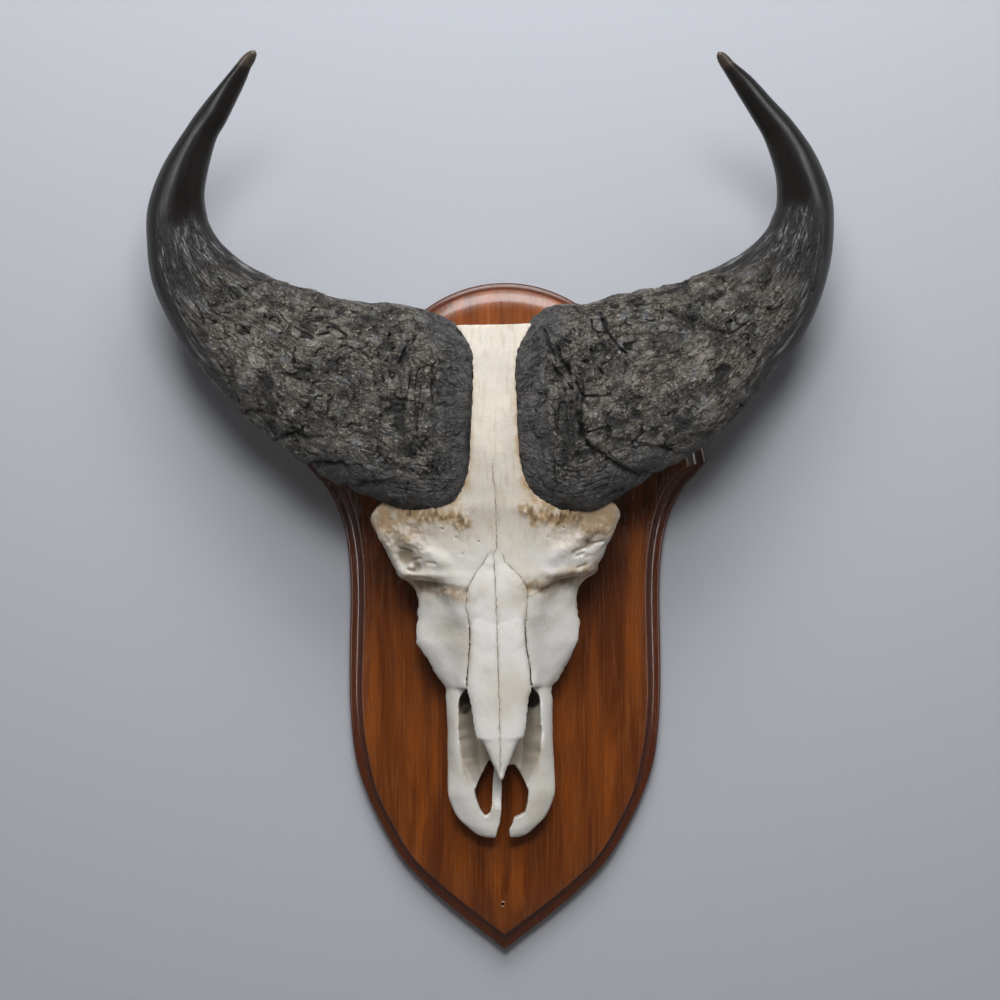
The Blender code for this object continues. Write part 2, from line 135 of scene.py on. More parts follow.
PALATE_RIGHT = [(7, -438), (5, -444), (0.7, -453), (-0.8, -485), (-2.2, -495), (-4.5, -501), (-8, -516),
                (8, -516), (7, -502), (10, -497), (12, -490), (17, -488), (23, -485), (25.5, -476),
                (27.5, -462), (22, -451), (14, -437)]
EYE_CENTRE = (104, -215, 40)
EYE_TURN_DEG = 27.0
EYE_RING_RADIUS = 27.0
EYE_RING_THICK = 6.0
SOCKET_HALF = (46, 23.5, 23.5)
TEMPLE_CENTRE = (116, -130, 30)
TEMPLE_HALF = (38, 42, 34)
SEAT_GAP = 0.6

# Horns from tip to boss: s and h of the outer edge, s and h of the inner edge, d of the edges,
# and how far the front and the back bulge from there. The stations along a horn count these rows from
# the tip: the horn is smooth up to about 5 and all bark from about 10.
HORN_LEFT = [
    (-238, 253, -225, 248, 136, 7, 7), (-254, 237, -233, 233, 126, 11, 11),
    (-273, 219, -252, 201, 112, 14, 14), (-290, 201, -265, 182, 98, 17, 17),
    (-319, 163, -278, 140, 80, 22, 22), (-336, 126, -278, 115, 64, 26, 26),
    (-339, 93, -275, 104, 56, 28, 28), (-336, 54, -268, 92, 50, 31, 29), (-322, 17, -256, 79, 48, 34, 30),
    (-302, -19, -236, 64, 50, 36, 31), (-275, -52, -212, 52, 55, 38, 31), (-244, -82, -185, 43, 60, 40, 32),
    (-207, -114, -156, 33, 66, 42, 32), (-167, -143, -124, 28, 70, 44, 31),
    (-123, -165, -91, 22, 73, 46, 29), (-79, -181, -60, 17, 75, 46, 27), (-47, -181, -36, 4, 76, 42, 25),
    (-30, -169, -23, -12, 78, 36, 22), (-23, -153, -17, -26, 80, 25, 18),
]
HORN_RIGHT = [
    (237, 244, 226, 238, 136, 7, 7), (256, 230, 240, 217, 126, 11, 11), (277, 210, 256, 194, 112, 14, 14),
    (298, 190, 270, 172, 98, 17, 17), (320, 161, 281, 141, 84, 22, 22), (337, 124, 283, 115, 68, 26, 26),
    (340, 93, 280, 104, 60, 28, 28), (337, 58, 274, 91, 53, 31, 29), (325, 17, 260, 76, 49, 34, 30),
    (306, -19, 241, 63, 50, 36, 31), (277, -52, 215, 51, 54, 38, 31), (241, -91, 187, 41, 61, 40, 32),
    (209, -119, 159, 32, 66, 42, 32), (168, -141, 127, 28, 70, 44, 31), (125, -167, 97, 21, 73, 46, 29),
    (83, -185, 70, 18, 75, 46, 27), (49, -182, 46, 8, 76, 42, 25), (30, -166, 29, -12, 78, 36, 22),
    (22, -148, 22, -28, 80, 25, 18),
]
TIP_LEFT = (-220, 263, 146)
TIP_RIGHT = (222, 252, 146)
BOSS_END_LEFT = (-17.5, -85, 88)
BOSS_END_RIGHT = (18.5, -86, 88)
TIP_SQUARENESS = 2.0
BOSS_SQUARENESS = 2.9
FRONT_SHARE = 0.7  # of the points round a horn
TIP_CAP = 0.012  # share of the rings in the round end of the tip
BOSS_CAP = 0.03

# Rims of the bosses, where old horn ends in a smooth rounded band
RIM_LEFT = [(-38, -1), (-28, -9), (-19, -21), (-17, -33), (-20, -59), (-25, -89), (-25, -122), (-26, -139),
            (-29, -157), (-36, -167), (-47, -175), (-66, -178), (-88, -175), (-116, -167), (-139, -156),
            (-159, -145)]
RIM_RIGHT = [(43, 3), (34, -6), (26, -18), (23, -28), (22, -50), (24, -74), (24, -109), (26, -135),
             (30, -156), (39, -172), (53, -179), (71, -182), (89, -179), (117, -171), (148, -150)]
# Folds in the bark, where one layer of horn laps over the next, each with its height
FOLDS_LEFT = [
    ([(-40, -27), (-50, -47), (-60, -64), (-71, -72), (-90, -73)], 3.4),
    ([(-43, -51), (-51, -66), (-59, -78), (-67, -97)], 2.8),
    ([(-222, -113), (-209, -106), (-196, -103), (-181, -104)], 7.5),
    ([(-192, -138), (-180, -130), (-166, -130), (-146, -131)], 8.0),
    ([(-160, -157), (-146, -152), (-134, -153), (-114, -149)], 6.5),
    ([(-251, -85), (-240, -78), (-228, -80)], 4.5),
    ([(-98, -130), (-90, -138), (-79, -134), (-74, -121), (-79, -106)], 2.6),
]
FOLDS_RIGHT = [
    ([(83, -84), (84, -97), (87, -110), (95, -121), (108, -132), (121, -141), (138, -146), (157, -146),
      (172, -141)], 7.5),
    ([(197, -92), (184, -88), (170, -92), (157, -87), (143, -90), (128, -100)], 4.5),
    ([(143, -118), (160, -122), (178, -127), (200, -124)], 4.5),
    ([(178, 8), (189, 3), (203, 0), (214, -9), (226, -12)], 3.2),
]
# Cracks in the bark
CRACKS_LEFT = [
    [(-100, -8), (-106, -19), (-116, -32)], [(-190, 3), (-176, 6), (-166, 9)],
    [(-168, -8), (-156, -6), (-147, -1)], [(-89, -34), (-83, -20), (-81, -13)],
]
CRACKS_RIGHT = [
    [(105, 15), (111, -8), (121, -25), (134, -33)],
    [(62, -23), (64, -30), (73, -45), (83, -64), (89, -74), (99, -73)],
    [(59, -43), (71, -59), (81, -74), (83, -84)], [(95, -28), (100, -40), (108, -50)],
    [(52, -8), (55, -23), (62, -37)],
]

# Sutures of the skull, as s and h
MIDLINE = [(-1.7, -140), (-1.7, -152), (0.1, -158), (0.4, -192), (0.8, -218), (-2.3, -225), (-1.9, -251),
           (-0.8, -293), (-0.6, -331), (-0.1, -376), (-0.3, -407), (-0.7, -424), (-0.7, -440)]
SUTURE_LEFT = [(-9, -226), (-12, -231), (-21, -243), (-29, -257), (-31, -276), (-28, -293), (-28, -312),
               (-30, -331), (-32.5, -354)]
SUTURE_RIGHT = [(6.5, -226), (8, -231), (15, -238), (23, -247), (30, -258), (29, -275), (27.5, -294),
                (27, -314), (31, -335), (32, -357)]
LACRIMAL_LEFT = [(-48, -286), (-47, -295), (-43, -302), (-38, -303), (-34, -298), (-33, -290)]
LACRIMAL_RIGHT = [(33, -288), (35, -298), (39, -303), (43, -302), (47, -292), (47, -286)]
CHEEK_CRACK = [(55, -289), (59, -283), (65, -279), (68, -276)]
# Creases under the brows, where the face steps back below the eyes
STEP_LEFT = [(-88, -247), (-82, -249), (-75, -250), (-66, -252), (-46, -258), (-33, -261)]
STEP_RIGHT = [(92, -246), (77, -249), (62, -254), (47, -260), (32, -259)]
# Small round holes for vessels and nerves
FORAMINA = [(-52, -259), (-39, -207), (-52, -198), (-33, -223), (-17, -211), (51, -208), (90, -215),
            (66, -199)]
# Brows: ridges with their height and width, steps with theirs, hollows and a knob with radius and height
BROW_RIDGES = [
    ([(-118, -208), (-99, -198), (-80, -214), (-55, -229)], 2.6, 8),
    ([(116, -205), (98, -198), (82, -212), (58, -226)], 2.2, 8),
    ([(-104, -214), (-101, -225), (-95, -236), (-90, -243)], 2.2, 4),
]
BROW_LEDGES = [
    ([(-66, -251), (-75, -250), (-82, -249), (-88, -247)], -3.2, 8),
    ([(91, -247), (77, -249), (62, -254), (47, -260)], -1.6, 10),
]
BROW_BUMPS = [((-90, -225), 9, -5.0), ((-79, -236), 6, -3.0), ((91, -217), 6, -3.5), ((-84, -235), 3.0, 2.4)]
BROW_CREASES = [
    [(-94, -217), (-88, -219), (-83, -220)], [(-83, -230), (-80, -228), (-75, -227)],
    [(-87, -238), (-82, -239)], [(-67, -231), (-60, -232)],
    [(75, -224), (84, -221), (93, -217)], [(76, -225), (78, -228), (84, -226)],
    [(80, -239), (88, -237)], [(64, -253), (71, -251), (81, -249)], [(95, -216), (105, -214)],
]
# Lower edges of the bosses' seats, where the bone is knobbly and stained
BURRS_LEFT = [(-82, -183), (-62, -184), (-48, -187), (-38, -188), (-31, -193)]
BURRS_RIGHT = [(30, -181), (37, -188), (48, -189), (60, -190), (80, -187)]

BONE_GRID = 1.15  # edge of the cells in which the bone is made one closed form
MOST_TRIANGLES = 198000
LIGHTS_AIM = (0, 0, 0.1)
CAMERA_PLACE = (-0.0051, -2.6, 0.1183)
CAMERA_LENS = 91.76


def positions(piece):
    """Where a piece's points are in the skull's axes, in millimetres, as s, h and d."""
    found = np.empty(len(piece.data.vertices) * 3)
    piece.data.vertices.foreach_get("co", found)
    x, y, z = found.reshape(-1, 3).T / MM
    return np.column_stack((x, z, -y))


def outwards(piece):
    """Which way each point of a piece faces, as s, h and d."""
    found = np.empty(len(piece.data.vertices) * 3)
    piece.data.vertices.foreach_get("normal", found)
    x, y, z = found.reshape(-1, 3).T
    return np.column_stack((x, z, -y))


def move_to(piece, places):
    """Puts a piece's points at new places in the skull's axes."""
    s, h, d = places.T
    piece.data.vertices.foreach_set("co", (np.column_stack((s, -d, h)) * MM).ravel())
    piece.data.update()


def push(piece, amount):
    """Moves each point outwards by its own amount, in millimetres."""
    move_to(piece, positions(piece) + outwards(piece) * amount[:, None])


def note(piece, name, values):
    """Keeps a number at each point for the material to read."""
    kept = piece.data.attributes.new(name, "FLOAT", "POINT")
    kept.data.foreach_set("value", np.ascontiguousarray(values, dtype=np.float32))


def smooth_step(low, high, value):
    """From 0 at low to 1 at high, with soft ends. Low may be the larger."""
    share = np.clip((value - low) / (high - low), 0, 1)
    return share * share * (3 - 2 * share)


def chance(cells, seed):
    """A fixed random number from 0 to 1 for each cell."""
    mask = 0xFFFFFFFF
    mixed = cells[:, 0] * 374761393 + cells[:, 1] * 668265263 + cells[:, 2] * 2147483647 + seed * 1446651
    mixed = mixed & mask
    mixed = ((mixed ^ (mixed >> 13)) * 1274126177) & mask
    mixed = ((mixed ^ (mixed >> 15)) * 668265263) & mask
    return ((mixed ^ (mixed >> 16)) & 0xFFFF) / 65535.0


def rough(places, grain, seed):
    """Soft noise from -1 to 1 with lumps of the given size in millimetres, one size or one for each axis."""
    scaled = places / np.asarray(grain, dtype=float)
    cell = np.floor(scaled).astype(np.int64)
    inner = scaled - cell
    ease = inner * inner * inner * (inner * (inner * 6 - 15) + 10)
    total = np.zeros(len(places))
    for corner in itertools.product((0, 1), repeat=3):
        corner = np.array(corner)
        weight = np.prod(np.where(corner == 1, ease, 1 - ease), axis=1)
        total += weight * chance(cell + corner, seed)
    return total * 2 - 1


def layers(places, grain, seed, count=3):
    """Noise with finer noise on it, each half the size and half the height of the last."""
    total = np.zeros(len(places))
    for k in range(count):
        total += rough(places, np.asarray(grain, dtype=float) / 2**k, seed + 17 * k) / 2**k
    return total


def pits(places, spacing, seed):
    """Distance to the nearest of many scattered pit centres, as a share of their spacing."""
    scaled = places / spacing
    cell = np.floor(scaled).astype(np.int64)
    nearest = np.full(len(places), 9.0)
    for shift in itertools.product((-1, 0, 1), repeat=3):
        other = cell + np.array(shift)
        away = np.zeros(len(places))
        for axis in range(3):
            away += (other[:, axis] + chance(other, seed + axis) - scaled[:, axis]) ** 2
        nearest = np.minimum(nearest, away)
    return np.sqrt(nearest)


def follow(flat, line):
    """How far each point is from a line drawn through the given points, above zero on the line's left,
    and how far along the line it lies."""
    line = np.array(line, dtype=float)
    best = np.full(len(flat), 1e9)
    signed = np.zeros(len(flat))
    along = np.zeros(len(flat))
    passed = 0.0
    for a, b in zip(line[:-1], line[1:], strict=True):
        run = b - a
        length = np.hypot(*run)
        share = np.clip(((flat - a) @ run) / length**2, 0, 1)
        off = flat - (a + share[:, None] * run)
        away = np.hypot(off[:, 0], off[:, 1])
        nearer = away < best
        best = np.where(nearer, away, best)
        on_right = run[0] * off[:, 1] - run[1] * off[:, 0] < 0
        signed = np.where(nearer, np.where(on_right, -away, away), signed)
        along = np.where(nearer, passed + share * length, along)
        passed += length
    return signed, along


def reach(flat, line):
    """How far each point is from a line, above zero on the line's left."""
    return follow(flat, line)[0]


def near_line(flat, line, width):
    """1 on a line, and less and less away from it."""
    return np.exp(-((reach(flat, line) / width) ** 2))


def plates(value, count):
    """Soft noise turned into flat plates with low steps between them."""
    scaled = value * count
    whole = np.floor(scaled)
    return (whole + smooth_step(0.3, 0.7, scaled - whole)) / count


def splits(value, width):
    """Thin lines, 1 deep, where soft noise passes through zero."""
    return smooth_step(width, 0.0, np.abs(value))


def crease(flat, line, depth, width):
    """A soft groove along a line."""
    return -depth * near_line(flat, line, width)


def ledge(flat, line, height, width=14.0):
    """A step up on the left of a line, which falls away over a width."""
    away = reach(flat, line)
    return height * smooth_step(-2.0, 2.2, away) * np.exp(-np.abs(away) / width)


def bump_at(flat, centre, radius, height):
    """A round bump, or a hollow where the height is below zero."""
    away = np.hypot(flat[:, 0] - centre[0], flat[:, 1] - centre[1])
    return height * np.exp(-((away / radius) ** 2))


def curve_at(rows, t):
    """Rows of numbers as one smooth curve, read at t, which counts rows."""
    rows = np.array(rows, dtype=float)
    start = np.clip(np.floor(t).astype(int), 0, len(rows) - 2)
    u = (t - start)[:, None]
    p = rows[np.maximum(start - 1, 0)]
    q = rows[start]
    r = rows[start + 1]
    w = rows[np.minimum(start + 2, len(rows) - 1)]
    return 0.5 * (2 * q + (r - p) * u + (2 * p - 5 * q + 4 * r - w) * u**2 + (3 * q - p - 3 * r + w) * u**3)


def end_size(share, first, last):
    """The size of each ring of a roll: full, but for the shares at its ends where it shrinks to a point."""
    return np.clip(share / first, 0, 1) * np.clip((1 - share) / last, 0, 1)


def pick(piece):
    """Selects one piece alone."""
    bpy.ops.object.select_all(action="DESELECT")
    bpy.context.view_layer.objects.active = piece
    piece.select_set(True)


def fix_place(piece):
    """Moves a piece's place, turn and size into its mesh."""
    pick(piece)
    bpy.ops.object.transform_apply(location=True, rotation=True, scale=True)
    piece.select_set(False)


def rolled(name, segments, rings, place_points):
    """A flat sheet rolled up, with its seam and its ends closed. place_points lays it by ring and turn."""
    bpy.ops.mesh.primitive_grid_add(x_subdivisions=segments, y_subdivisions=rings, size=2)
    piece = bpy.context.object
    piece.name = name
    sheet = np.empty(len(piece.data.vertices) * 3)
    piece.data.vertices.foreach_get("co", sheet)
    x, y, _ = sheet.reshape(-1, 3).T
    ring = np.rint((y + 1) / 2 * rings).astype(int)
    turn = np.rint((x + 1) / 2 * segments).astype(int) % segments
    move_to(piece, place_points(ring, turn))
    note(piece, "ring", ring)
    note(piece, "turn", turn)
    bpy.ops.object.mode_set(mode="EDIT")
    bpy.ops.mesh.select_all(action="SELECT")
    bpy.ops.mesh.remove_doubles(threshold=0.001 * MM)
    bpy.ops.mesh.normals_make_consistent(inside=False)
    bpy.ops.object.mode_set(mode="OBJECT")
    bpy.ops.object.shade_smooth()
    piece.select_set(False)
    return piece


def take(piece, name):
    """Reads a number kept at each point, and drops it from the piece."""
    kept = piece.data.attributes[name]
    found = np.empty(len(piece.data.vertices), dtype=np.float32)
    kept.data.foreach_get("value", found)
    piece.data.attributes.remove(kept)
    return np.rint(found).astype(int)


def apply_step(piece, kind, **settings):
    """Adds one modifier and applies it."""
    pick(piece)
    step = piece.modifiers.new(kind.lower(), kind)
    for key, value in settings.items():
        setattr(step, key, value)
    bpy.ops.object.modifier_apply(modifier=step.name)
    piece.select_set(False)


def cut(piece, cutter, operation="DIFFERENCE", solver="MANIFOLD"):
    """Cuts one form out of a piece, or joins it on, and removes the form."""
    apply_step(piece, "BOOLEAN", object=cutter, operation=operation, solver=solver)
    bpy.data.objects.remove(cutter, do_unlink=True)


def thin_to(piece, triangles):
    """Collapses the flattest edges until the piece has this many triangles."""
    now = sum(len(face.vertices) - 2 for face in piece.data.polygons)
    if now > triangles:
        apply_step(piece, "DECIMATE", ratio=triangles / now, use_collapse_triangulate=True)


def hang(piece):
    """Tilts a piece as the skull is tilted and sets it on the plaque."""
    piece.location = (SKULL_ORIGIN[0] * MM, -PLAQUE_THICK * MM, SKULL_ORIGIN[1] * MM)
    piece.rotation_euler = (0, -math.radians(SKULL_TILT_DEG), 0)
    fix_place(piece)


# Materials

def linear(code):
    """An sRGB hex colour as linear numbers."""
    found = []
    for start in (1, 3, 5):
        value = int(code[start:start + 2], 16) / 255
        found.append(value / 12.92 if value <= 0.04045 else ((value + 0.055) / 1.055) ** 2.4)
    return (*found, 1.0)


def new_material(name):
    """A material, its node tree and its shader."""
    made = bpy.data.materials.new(name)
    made.use_nodes = True
    return made, made.node_tree, made.node_tree.nodes["Principled BSDF"]


def add(tree, kind, sockets=None, **settings):
    """One node with its settings, and its sockets set or linked."""
    node = tree.nodes.new("ShaderNode" + kind)
    for key, value in settings.items():
        setattr(node, key, value)
    for key, value in (sockets or {}).items():
        if isinstance(value, bpy.types.NodeSocket):
            tree.links.new(value, node.inputs[key])
        else:
            node.inputs[key].default_value = value
    return node


def kept_values(tree, *names):
    """The numbers that note() kept at each point."""
    return [add(tree, "Attribute", attribute_name=name).outputs["Fac"] for name in names]


def stretched(tree, size, flow=None):
    """Each point's place in a pattern whose lumps have this size in millimetres, one size or one for each
    axis. The pattern lies on the piece itself, or runs along the horn where its flow is given."""
    if flow is None:
        place, unit = add(tree, "TexCoord").outputs["Object"], MM
    else:
        place, unit = flow, 1
    sizes = size if isinstance(size, tuple) else (size,) * 3
    scale = [1 / (lump * unit) for lump in sizes]
    return add(tree, "Mapping", {"Vector": place, "Scale": scale}).outputs["Vector"]


def spots(tree, size, flow=None, **settings):
    """A cloudy pattern with lumps of this size."""
    sockets = {"Vector": stretched(tree, size, flow), "Scale": 1.0, "Detail": 4.0, "Roughness": 0.55}
    return add(tree, "TexNoise", {**sockets, **settings}).outputs["Fac"]


def share_where(tree, most, *limits, least=0.0):
    """A share that grows from least to most as each value goes from its first limit to its second.
    A value without limits is a share itself."""
    for limit in limits:
        if isinstance(limit, tuple):
            value, low, high = limit
            sockets = {"Value": value, "From Min": low, "From Max": high, "To Min": least, "To Max": most}
            most = add(tree, "MapRange", sockets, interpolation_type="SMOOTHSTEP").outputs["Result"]
        else:
            most = add(tree, "Math", {0: limit, 1: most}, operation="MULTIPLY").outputs["Value"]
    return most


def heap(tree, start, *parts):
    """A number or pattern with others laid on it, each with its weight."""
    for value, weight in parts:
        start = add(tree, "Math", {0: value, 1: weight, 2: start}, operation="MULTIPLY_ADD").outputs["Value"]
    return start


def wash(tree, under, over, most, *limits):
    """One colour laid over another, up to a share and within limits. A colour is a hex code or a socket."""
    under, over = (linear(c) if isinstance(c, str) else c for c in (under, over))
    sockets = {0: share_where(tree, most, *limits), 6: under, 7: over}
    return add(tree, "Mix", sockets, data_type="RGBA").outputs[2]


def washes(tree, colour, *coats):
    """Several colours laid over one in turn, each with its share and its limits."""
    for over, most, *limits in coats:
        colour = wash(tree, colour, over, most, *limits)
    return colour


# Horn sheaths

def squared(angle, square):
    """How far out a circle with squared-off sides reaches at an angle."""
    return (np.abs(np.cos(angle)) ** square + np.abs(np.sin(angle)) ** square) ** (-1 / square)


def horn_table(stations, tip, boss_end, rings, segments):
    """Where each ring of a horn is, and the angle of each of its points, evenly spaced over front and
    back."""
    last = len(stations) - 1
    at = np.linspace(0, last, 4000)
    so, ho, si, hi, d, _, _ = curve_at(stations, at).T
    middle = np.column_stack(((so + si) / 2, (ho + hi) / 2, d))
    run = np.linalg.norm(np.diff(middle, axis=0), axis=1)
    apart = 2.3 - 1.35 * smooth_step(3.5, 7.0, at[:-1])
    apart = apart - 0.25 * smooth_step(14, 16, at[:-1])
    spent = np.concatenate(([0], np.cumsum(run / apart)))
    length = np.concatenate(([0], np.cumsum(run)))
    share = np.arange(rings + 1) / rings
    body = np.clip((share - TIP_CAP) / (1 - TIP_CAP - BOSS_CAP), 0, 1)
    ring_at = np.interp(body * spent[-1], spent, at)
    rows = curve_at(stations, ring_at)
    so, ho, si, hi, d, front, back = rows.T
    centre = np.column_stack(((so + si) / 2, (ho + hi) / 2, d))
    across = np.column_stack(((so - si) / 2, (ho - hi) / 2))

    from_tip = np.clip(share / TIP_CAP, 0, 1)
    from_end = np.clip((1 - share) / BOSS_CAP, 0, 1)
    size = np.sqrt(from_tip * (2 - from_tip)) * np.sqrt(from_end * (2 - from_end))
    centre += (np.array(tip) - centre) * (1 - from_tip)[:, None]
    centre += (np.array(boss_end) - centre) * (1 - from_end)[:, None]
    square = TIP_SQUARENESS + (BOSS_SQUARENESS - TIP_SQUARENESS) * smooth_step(5, last, ring_at)

    halves = [np.linspace(0, math.pi, 361), np.linspace(math.pi, 2 * math.pi, 181)]
    front_count = round(segments * FRONT_SHARE)
    wanted = [np.arange(count) / count for count in (front_count, segments - front_count)]
    angles = np.empty((rings + 1, segments))
    for k in range(rings + 1):
        wide = np.hypot(*across[k])
        placed = []
        for half, want, deep in zip(halves, wanted, (front[k], back[k]), strict=True):
            r = squared(half, square[k])
            steps = np.hypot(np.diff(wide * np.cos(half) * r), np.diff(deep * np.sin(half) * r))
            run_round = np.concatenate(([0], np.cumsum(steps)))
            placed.append(np.interp(want * run_round[-1], run_round, half))
        angles[k] = np.concatenate(placed)
    return {
        "at": ring_at, "length": np.interp(ring_at, at, length), "centre": centre, "across": across,
        "front": front, "back": back, "size": size, "square": square, "angles": angles,
    }


def horn_points(table, ring, turn):
    """Places on the plain horn."""
    angle = table["angles"][ring, turn]
    r = squared(angle, table["square"][ring]) * table["size"][ring]
    deep = np.where(np.sin(angle) > 0, table["front"][ring], table["back"][ring])
    flat = table["centre"][ring, :2] + table["across"][ring] * (np.cos(angle) * r)[:, None]
    return np.column_stack((flat, table["centre"][ring, 2] + deep * np.sin(angle) * r))


def bark_relief(places, grain, at, facing, rim, folds, cracks, seed):
    """How far the bark stands out at each point, in millimetres, its fine part with some of the grooves,
    which the material turns into painted shade and painted highlight, and how near the rim is."""
    flat = places[:, :2]
    barky = smooth_step(6.6, 10.0, at)
    fibrous = smooth_step(5.0, 6.8, at) * (1 - smooth_step(10.5, 13.0, at))
    from_rim, along_rim = follow(flat, rim)
    from_rim = np.abs(from_rim)
    banded = (1 - smooth_step(18, 40, from_rim)) * facing * smooth_step(11.5, 13.5, at)
    warp = 2.6 * np.column_stack([rough(places, 13, seed + k) for k in (21, 22, 23)])
    bent = places + warp
    wound = grain + warp

    large = 2.6 * rough(places, 46, seed) + 2.0 * plates(layers(bent, 24, seed + 1, 2), 1.6)
    folded = 0
    grooves = 0
    broken = smooth_step(-0.6, 0.2, rough(places, 7, seed + 24))
    for line, height in folds:
        lapped = flat + 0.6 * warp[:, :2]
        folded = folded + ledge(lapped, line, 0.6 * height) + crease(lapped, line, 0.35 * height, 6.0)
        grooves = grooves + crease(lapped, line, 0.4 * height, 2.4) * broken
    for line in cracks:
        grooves = grooves + crease(flat + 0.8 * warp[:, :2], line, 4.0, 1.4) * broken

    scales = 1.3 * plates(layers(bent, 17, seed + 3, 2), 2.6)
    scales += 0.8 * plates(rough(wound, (6.5, 6.5, 20), seed + 4), 2.2)
    crumbs = 0.45 * rough(wound, (3.2, 3.2, 8), seed + 5) + 0.22 * rough(places, 2.3, seed + 6)
    torn = splits(rough(wound, (5.5, 5.5, 24), seed + 7), 0.12)
    torn *= smooth_step(0.0, 0.4, rough(places, 12, seed + 8))
    torn += splits(rough(bent, 8.0, seed + 9), 0.08) * smooth_step(0.1, 0.5, rough(places, 12, seed + 10))
    holes = smooth_step(0.3, 0.12, pits(places, 11.0, seed + 11))
    ring_place = np.column_stack((from_rim + 0.7 * warp[:, 0], along_rim, 0 * from_rim))
    ringed = (1 - smooth_step(60, 110, from_rim)) * facing * smooth_step(9.5, 12.5, at)
    ringed = ringed * smooth_step(0, 25, along_rim) * smooth_step(0, 45, along_rim.max() - along_rim)
    rings = 1.0 * plates(rough(ring_place, (8.5, 60, 1), seed + 12), 2.0)
    rings -= 1.9 * splits(rough(ring_place, (6.2, 36, 1), seed + 13), 0.17) * smooth_step(6, 16, from_rim)
    fine = (scales + crumbs - 2.6 * torn - 0.9 * holes) * (1 - 0.45 * banded) + rings * ringed

    fibres = 0.6 * rough(wound, (3.0, 3.0, 42), seed + 14) + 0.35 * rough(wound, (1.8, 1.8, 20), seed + 15)
    split_here = smooth_step(0.1, 0.5, rough(grain, 14, seed))
    fibres -= 1.5 * splits(rough(wound, (3.8, 3.8, 22), seed + 16), 0.16) * split_here
    shallow = 0.22 * rough(grain, (6, 6, 80), seed + 17) * smooth_step(1.0, 4.0, at)
    fine = barky * fine + fibrous * fibres
    return barky * (large + folded + grooves) + fine + shallow, fine + 0.8 * barky * grooves, banded


def horn_sheath(name, stations, tip, boss_end, rim, folds, cracks, seed, finish):
    """One horn from its smooth tip to its boss, covered with bark."""
    rings, segments = 620, 330
    table = horn_table(stations, tip, boss_end, rings, segments)
    piece = rolled(name + "_sheath", segments, rings, lambda ring, turn: horn_points(table, ring, turn))
    ring = take(piece, "ring")
    angle = table["angles"][ring, take(piece, "turn")]
    places = positions(piece)
    facing = smooth_step(-0.45, 0.25, outwards(piece)[:, 2])
    around = 12 + 34 * smooth_step(0, 9, table["at"][ring])
    grain = np.column_stack((around * np.cos(angle), around * np.sin(angle), table["length"][ring]))
    # The smooth horn reaches further down both edges than down the middle
    held = 3.6 * smooth_step(0.5, 0.92, np.cos(angle)) + 1.6 * smooth_step(-0.6, -0.95, np.cos(angle))
    at = table["at"][ring]
    held = held * smooth_step(4.0, 7.0, at) * (1 - smooth_step(9.5, 11.5, at))
    at = at - held + 0.6 * rough(places, 18, seed + 30) * smooth_step(1.0, 4.0, at)
    relief, fine, banded = bark_relief(places, grain, at, facing, rim, folds, cracks, seed)
    push(piece, relief)
    note(piece, "station", at)
    # The fine relief with the grooves also sets the horn's painted shade and painted highlight
    note(piece, "fine", fine)
    note(piece, "rim", banded)
    flow = piece.data.attributes.new("flow", "FLOAT_VECTOR", "POINT")
    flow.data.foreach_set("vector", np.ascontiguousarray(grain, dtype=np.float32).ravel())
    thin_to(piece, MOST_TRIANGLES)
    hang(piece)
    piece.data.materials.append(finish)
    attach(piece, "root")
    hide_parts(name)
    return piece


def horn_seat(stations, tip, boss_end):
    """A plain horn a little larger than the real one, which makes its seat in the bone."""
    rings, segments = 150, 96
    table = horn_table(stations, tip, boss_end, rings, segments)
    seat = rolled("seat", segments, rings, lambda ring, turn: horn_points(table, ring, turn))
    push(seat, np.full(len(seat.data.vertices), SEAT_GAP))
    return seat


